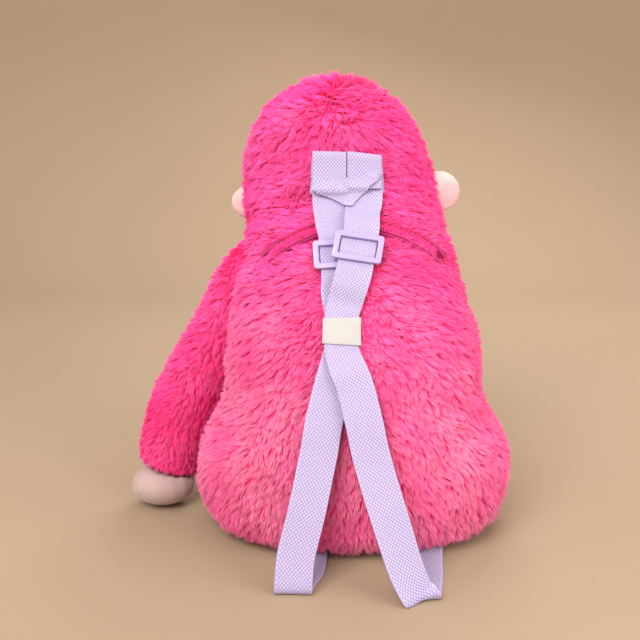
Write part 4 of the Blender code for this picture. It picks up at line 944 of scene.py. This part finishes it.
STRAP_RIGHT = (
    (7.1, -3.1, 266.5, 1, 0, -0.01), (7, -4.7, 257.9, 1, 0, -0.01), (7, -7.6, 249.6, 1, -0.01, -0.02),
    (6.6, -12.6, 242.4, 0.99, -0.07, -0.1), (4.8, -18.4, 236.2, 0.99, -0.1, -0.12),
    (4.1, -27, 232.2, 0.99, -0.08, -0.1), (3.6, -33.4, 225.8, 0.99, -0.1, -0.14),
    (1.8, -39.6, 217.4, 0.98, -0.1, -0.14), (1.2, -42.4, 215.1, 0.98, -0.1, -0.14),
    (0.3, -45.5, 210.9, 0.98, -0.1, -0.14), (-0.3, -46.8, 207.5, 0.98, -0.1, -0.14),
    (-2.2, -52.9, 199, 0.98, -0.1, -0.14, 24.6), (-5.1, -57.5, 189.6, 0.97, -0.12, -0.21, 24.2),
    (-8.8, -59.3, 177.1, 0.96, -0.12, -0.24, 23.3), (-10, -62.1, 173.5, 0.98, -0.09, -0.18, 22.9),
    (-10.7, -66.3, 165.3, 1, 0, 0.01, 22.5), (-10.9, -72.2, 152.8, 1, 0.02, 0.03, 22.8),
    (-10.4, -74.5, 149.2, 0.99, 0.11, 0.12, 23.2), (-9.4, -77.4, 145.8, 0.96, 0.21, 0.2, 23.7),
    (-5.6, -85.5, 137.4, 0.94, 0.19, 0.27, 24.6), (-2.5, -88.7, 129.8, 0.95, 0.12, 0.28),
    (-0.2, -92.1, 122.1, 0.97, 0.1, 0.22), (1.8, -95.6, 114.3, 0.97, 0.1, 0.21),
    (3.8, -98.8, 106.3, 0.98, 0.1, 0.19), (7.3, -103.7, 89.9, 0.97, 0.1, 0.21),
    (9.5, -106.4, 81.8, 0.96, 0.13, 0.23), (14.3, -112.5, 66.1, 0.96, 0.18, 0.23),
    (16.8, -115.6, 58.3, 0.95, 0.2, 0.23), (22, -121.2, 42.5, 0.94, 0.26, 0.22),
    (24.6, -124, 34.5, 0.93, 0.31, 0.2), (30.2, -129.3, 18.8, 0.88, 0.42, 0.21),
    (33, -131.5, 12.7, 0.84, 0.48, 0.23), (36.1, -133.3, 7, 0.76, 0.55, 0.34),
    (37.3, -133.6, 5.2, 0.68, 0.56, 0.47), (38.7, -133.6, 3.5, 0.64, 0.46, 0.62),
    (39.8, -132.9, 2, 0.88, 0.04, 0.48), (40, -130.7, 1, 0.98, -0.01, 0.21),
    (40.5, -126.4, 0.1, 0.99, -0.12, 0.02), (41.5, -118.4, 0.7, 0.99, -0.16, -0.01),
    (44.5, -101.1, 1, 0.99, -0.15, -0.01), (45.7, -92.4, 1.3, 0.99, -0.12, -0.01),
    (46.6, -83.7, 1.9, 0.99, -0.1, -0.01), (48.5, -66.3, 3.5, 0.99, -0.11, -0.01),
    (49.5, -57.7, 4.5, 0.99, -0.11, -0.01),
)
webbing("webbing_left", STRAP_LEFT, ["strap_left"], cup=0.0003)
webbing("webbing_right", STRAP_RIGHT, ["strap_right"], cup=0.0003)


def carrier(*names):
    """A tree of the faces of pieces or CAD nodes, to seat another piece on."""
    verts, faces = [], []
    for name in names:
        mesh = (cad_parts.get(name) or bpy.data.objects[name]).data
        start = len(verts)
        verts += [v.co.copy() for v in mesh.vertices]
        faces += [[start + i for i in p.vertices] for p in mesh.polygons]
    return BVHTree.FromPolygons(verts, faces)


def seat_y(tree, x, z, default):
    """Where the tree's surface lies behind the toy at x and z."""
    hit = tree.ray_cast(Vector((x, -0.3, z)), Vector((0, 1, 0)))
    return hit[0].y if hit[0] else default


patch_tree = carrier("anchor_patch")
rows = []
for x in np.linspace(-31.4, 20.0, 9):
    y = seat_y(patch_tree, x / 1000, 0.2600, -0.004)
    rows.append((x, y * 1000 + 0.7, 260.0, 0.0, 0.30, 1.0, 26.6))
webbing("nape_webbing", rows, ["anchor_patch"])

# The loop's two legs stand over the strap ends, and its bight is folded flat across them into a point.
loop_tree = carrier("grab_loop")
for name, middle, drop, lean, replaced in (("loop_leg_left", -18.4, 250.6, -0.03, ["grab_loop"]),
                                           ("loop_leg_right", 6.2, 252.0, -0.13, [])):
    top = 276.6 + lean * 12
    rows = [(middle, -2.7, top - 7.0, 1, 0, lean, 24.0), (middle, -2.0, top - 2.5, 1, 0, lean, 24.0),
            (middle, -2.4, top, 1, 0, lean, 24.0), (middle, -3.9, top + 0.2, 1, 0, lean, 24.0)]
    for z in np.arange(top - 2.5, drop - 1, -3.0):
        y = seat_y(loop_tree, (middle if z > 257 else -5.5) / 1000, z / 1000, -0.006)
        rows.append((middle, y * 1000 + 0.7, z, 1, 0, lean, 24.0))
    webbing(name, rows, replaced, step=1.5)


def folded_flap():
    """The bight of the loop, folded flat: a sheet with straight fold edges, lying on the webbing under it."""
    outline = ((-30.6, 255.0), (-30.6, 250.8), (-19.0, 245.2), (-7.4, 239.6), (-2.6, 239.4), (3.4, 245.6),
               (9.6, 252.2), (15.2, 256.6), (19.2, 261.8), (17.4, 264.0), (1.2, 260.6), (-14.0, 257.6))
    legs = carrier("loop_leg_left", "loop_leg_right", "webbing_left", "webbing_right")
    shape = bmesh.new()
    uv = shape.loops.layers.uv.new("weave")
    shape.faces.new([shape.verts.new((x / 1000, 0, z / 1000)) for x, z in outline])
    cuts = [(Vector((x / 1000, 0, 0)), Vector((1, 0, 0))) for x in np.arange(-29, 20, 1.5)]
    cuts += [(Vector((0, 0, z / 1000)), Vector((0, 0, 1))) for z in np.arange(240.5, 264, 1.5)]
    for spot, plane in cuts:
        bmesh.ops.bisect_plane(shape, geom=everything(shape), plane_co=spot, plane_no=plane)
    lay = Vector((0.96, -0.28)).normalized()
    for face in shape.faces:
        for loop in face.loops:
            spot = Vector((loop.vert.co.x, loop.vert.co.z)) * 1000 - Vector((-6, 253))
            loop[uv].uv = (spot.y * lay.x - spot.x * lay.y, (spot.x * lay.x + spot.y * lay.y) * 1.15)
    left, low = -34, 236
    probes = np.array([[seat_y(legs, x / 1000, z / 1000, -0.010) for x in np.arange(left, 24, 1.0)]
                       for z in np.arange(low, 268, 1.0)])
    for _ in range(10):
        wide = np.pad(probes, 1, mode="edge")
        around = (wide[:-2, 1:-1] + wide[2:, 1:-1] + wide[1:-1, :-2] + wide[1:-1, 2:]) / 4
        probes = np.minimum(probes, around)
    for vert in shape.verts:
        column, row = vert.co.x * 1000 - left, vert.co.z * 1000 - low
        i, j = int(row), int(column)
        s, t = row - i, column - j
        under = probes[i, j] * (1 - t) + probes[i, j + 1] * t
        over = probes[i + 1, j] * (1 - t) + probes[i + 1, j + 1] * t
        vert.co.y = under * (1 - s) + over * s - 0.0005
    bmesh.ops.recalc_face_normals(shape, faces=shape.faces)
    if sum(face.normal.y for face in shape.faces) > 0:
        bmesh.ops.reverse_faces(shape, faces=shape.faces)
    return shape


def bevel(piece, width, segments, angle=None):
    """Rounds a piece's edges, those that turn by more than an angle where one is given."""
    soft = piece.modifiers.new("soft", "BEVEL")
    soft.width = width
    soft.segments = segments
    if angle:
        soft.limit_method = "ANGLE"
        soft.angle_limit = angle
    return soft


flap = made_piece("loop_fold", folded_flap(), web_finish, slot="lavender_web")
wall = flap.modifiers.new("wall", "SOLIDIFY")
wall.thickness = WEB_THICKNESS * 1.2
wall.offset = 1
bevel(flap, 0.0004, 2)

# ---- Slide buckles and paper band ----
# Two moulded plastic slide buckles in the webbing's colour, for webbing of 25 mm, each with a middle bar
# that the strap passes over. A band of plain white paper holds the straps together.
plastic_finish, paint = new_finish("lavender_plastic", 0.32, coat=0.15)
paint.colour(paint.noise(60.0, 4.0, 0.6), (0.355, 0.285, 0.56), (0.385, 0.315, 0.59))
grain = paint.noise(700.0)
paint.feed("Roughness", grain * 0.12 + 0.26)
paint.bump(grain, 0.0001, 0.3)
for node in ("tri_glide_left", "tri_glide_right"):
    shape = merged(node)
    bmesh.ops.dissolve_limit(shape, angle_limit=0.03, verts=shape.verts, edges=shape.edges)
    piece = made_piece("moulded_" + node, shape, plastic_finish, node, slot="lavender_plastic")
    bevel(piece, 0.00055, 3, 0.6).harden_normals = True

paper_finish, paint = new_finish("white_paper", 0.75)
pulp, creases = paint.noise(500.0, 4.0), paint.noise(90.0)
paint.colour(creases, (0.40, 0.385, 0.37), (0.44, 0.42, 0.405))
paint.bump(pulp * 0.2 + creases, 0.0012, 0.5)
shape = merged("strap_band")
bmesh.ops.subdivide_edges(shape, edges=shape.edges, cuts=3, use_grid_fill=True)
for vert in shape.verts:
    vert.co.y -= 0.00025 * noise.noise(vert.co * 260)
band = made_piece("paper_band", shape, paper_finish, "strap_band", slot="white_paper")
bevel(band, 0.0006, 2, 0.9)

# ---- Zip ----
# A closed coil zip in an arc across the upper back, sewn into the fur's slot by its two woven tapes, with a
# small slider at its right end.
shaded_tape_finish, paint = new_finish("zip_tape", 0.8, sheen=0.2, sheen_tint=(1, 0.6, 0.7))
place = paint.out("ShaderNodeTexCoord", "Object")
thread = paint.number("ShaderNodeTexWave", "Fac", {"Vector": place, "Scale": 700.0, "Distortion": 1.0})
# Painted shade: the tapes are coloured a dark red-pink, as they lie in shade under the fur
paint.colour(thread, (0.34, 0.008, 0.090), (0.46, 0.016, 0.130))
paint.bump(thread, 0.0003, 0.5)
for node in ("zip_tape_upper", "zip_tape_lower"):
    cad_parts[node].material_slots[0].material = shaded_tape_finish

coil_finish, paint = new_finish("zip_coil", 0.38)
paint.colour(paint.noise(160.0), (0.56, 0.024, 0.19), (0.70, 0.045, 0.25))
paint.feed("Roughness", paint.noise(900.0) * 0.2 + 0.3)

weave, given = shape_tree("coil_teeth", (("Geometry", "Line"), ("Float", "Pitch"), ("Vector", "Tooth"),
                                         ("Material", "Finish")), "Teeth")
line = weave.out("GeometryNodeMeshToCurve", "Curve", {"Mesh": given["Line"]})
spaced = weave.node("GeometryNodeCurveToPoints", {"Curve": line, "Length": given["Pitch"]},
                    mode="LENGTH").outputs
ball = weave.out("GeometryNodeMeshIcoSphere", "Mesh", {"Radius": 0.5, "Subdivisions": 2})
facing = weave.out("FunctionNodeAlignRotationToVector", "Rotation", {"Vector": spaced["Tangent"]}, axis="X")
finish_tree("Teeth", {"Points": spaced["Points"], "Instance": ball, "Rotation": facing,
                      "Scale": given["Tooth"]})
TEETH = {"Pitch": 0.00125, "Tooth": (0.00085, 0.0019, 0.0015), "Finish": coil_finish}
COIL_HALF_CHORD, COIL_RISE, COIL_LIFT = 65, 0.85, 0.3


def zip_spot(share, rise, lift):
    """A point of the zip: share from -1 at the left to 1, rise out of the arc and lift off the skin."""
    turn = share * math.asin(COIL_HALF_CHORD / ZIP_RADIUS)
    x = ZIP_CENTRE[0] + math.sin(turn) * (ZIP_RADIUS + rise)
    z = ZIP_CENTRE[1] + math.cos(turn) * (ZIP_RADIUS + rise)
    spot, slope = back_of_form(x / 1000, z / 1000, PILE)
    return spot + slope * lift / 1000


for name, rise in (("zip_coil_upper", COIL_RISE), ("zip_coil_lower", -COIL_RISE)):
    line = bpy.data.meshes.new(name)
    spots = [zip_spot(share, rise, COIL_LIFT) for share in np.linspace(-0.99, 0.99, 90)]
    line.from_pydata(spots, [(i, i + 1) for i in range(len(spots) - 1)], [])
    mesh = grown(name, line, weave.tree, TEETH)
    smooth(mesh)
    link_piece(name, mesh, *(["zip_teeth"] if rise > 0 else []), slot="zip_pink")

pull_finish, paint = new_finish("zip_pull", 0.4)
paint.colour(paint.noise(240.0, 3.0), (0.22, 0.010, 0.06), (0.42, 0.020, 0.12))
pull = made_piece("zip_pull", merged("zip_slider"), pull_finish, "zip_slider", slot="zip_pink")
bevel(pull, 0.0005, 2)
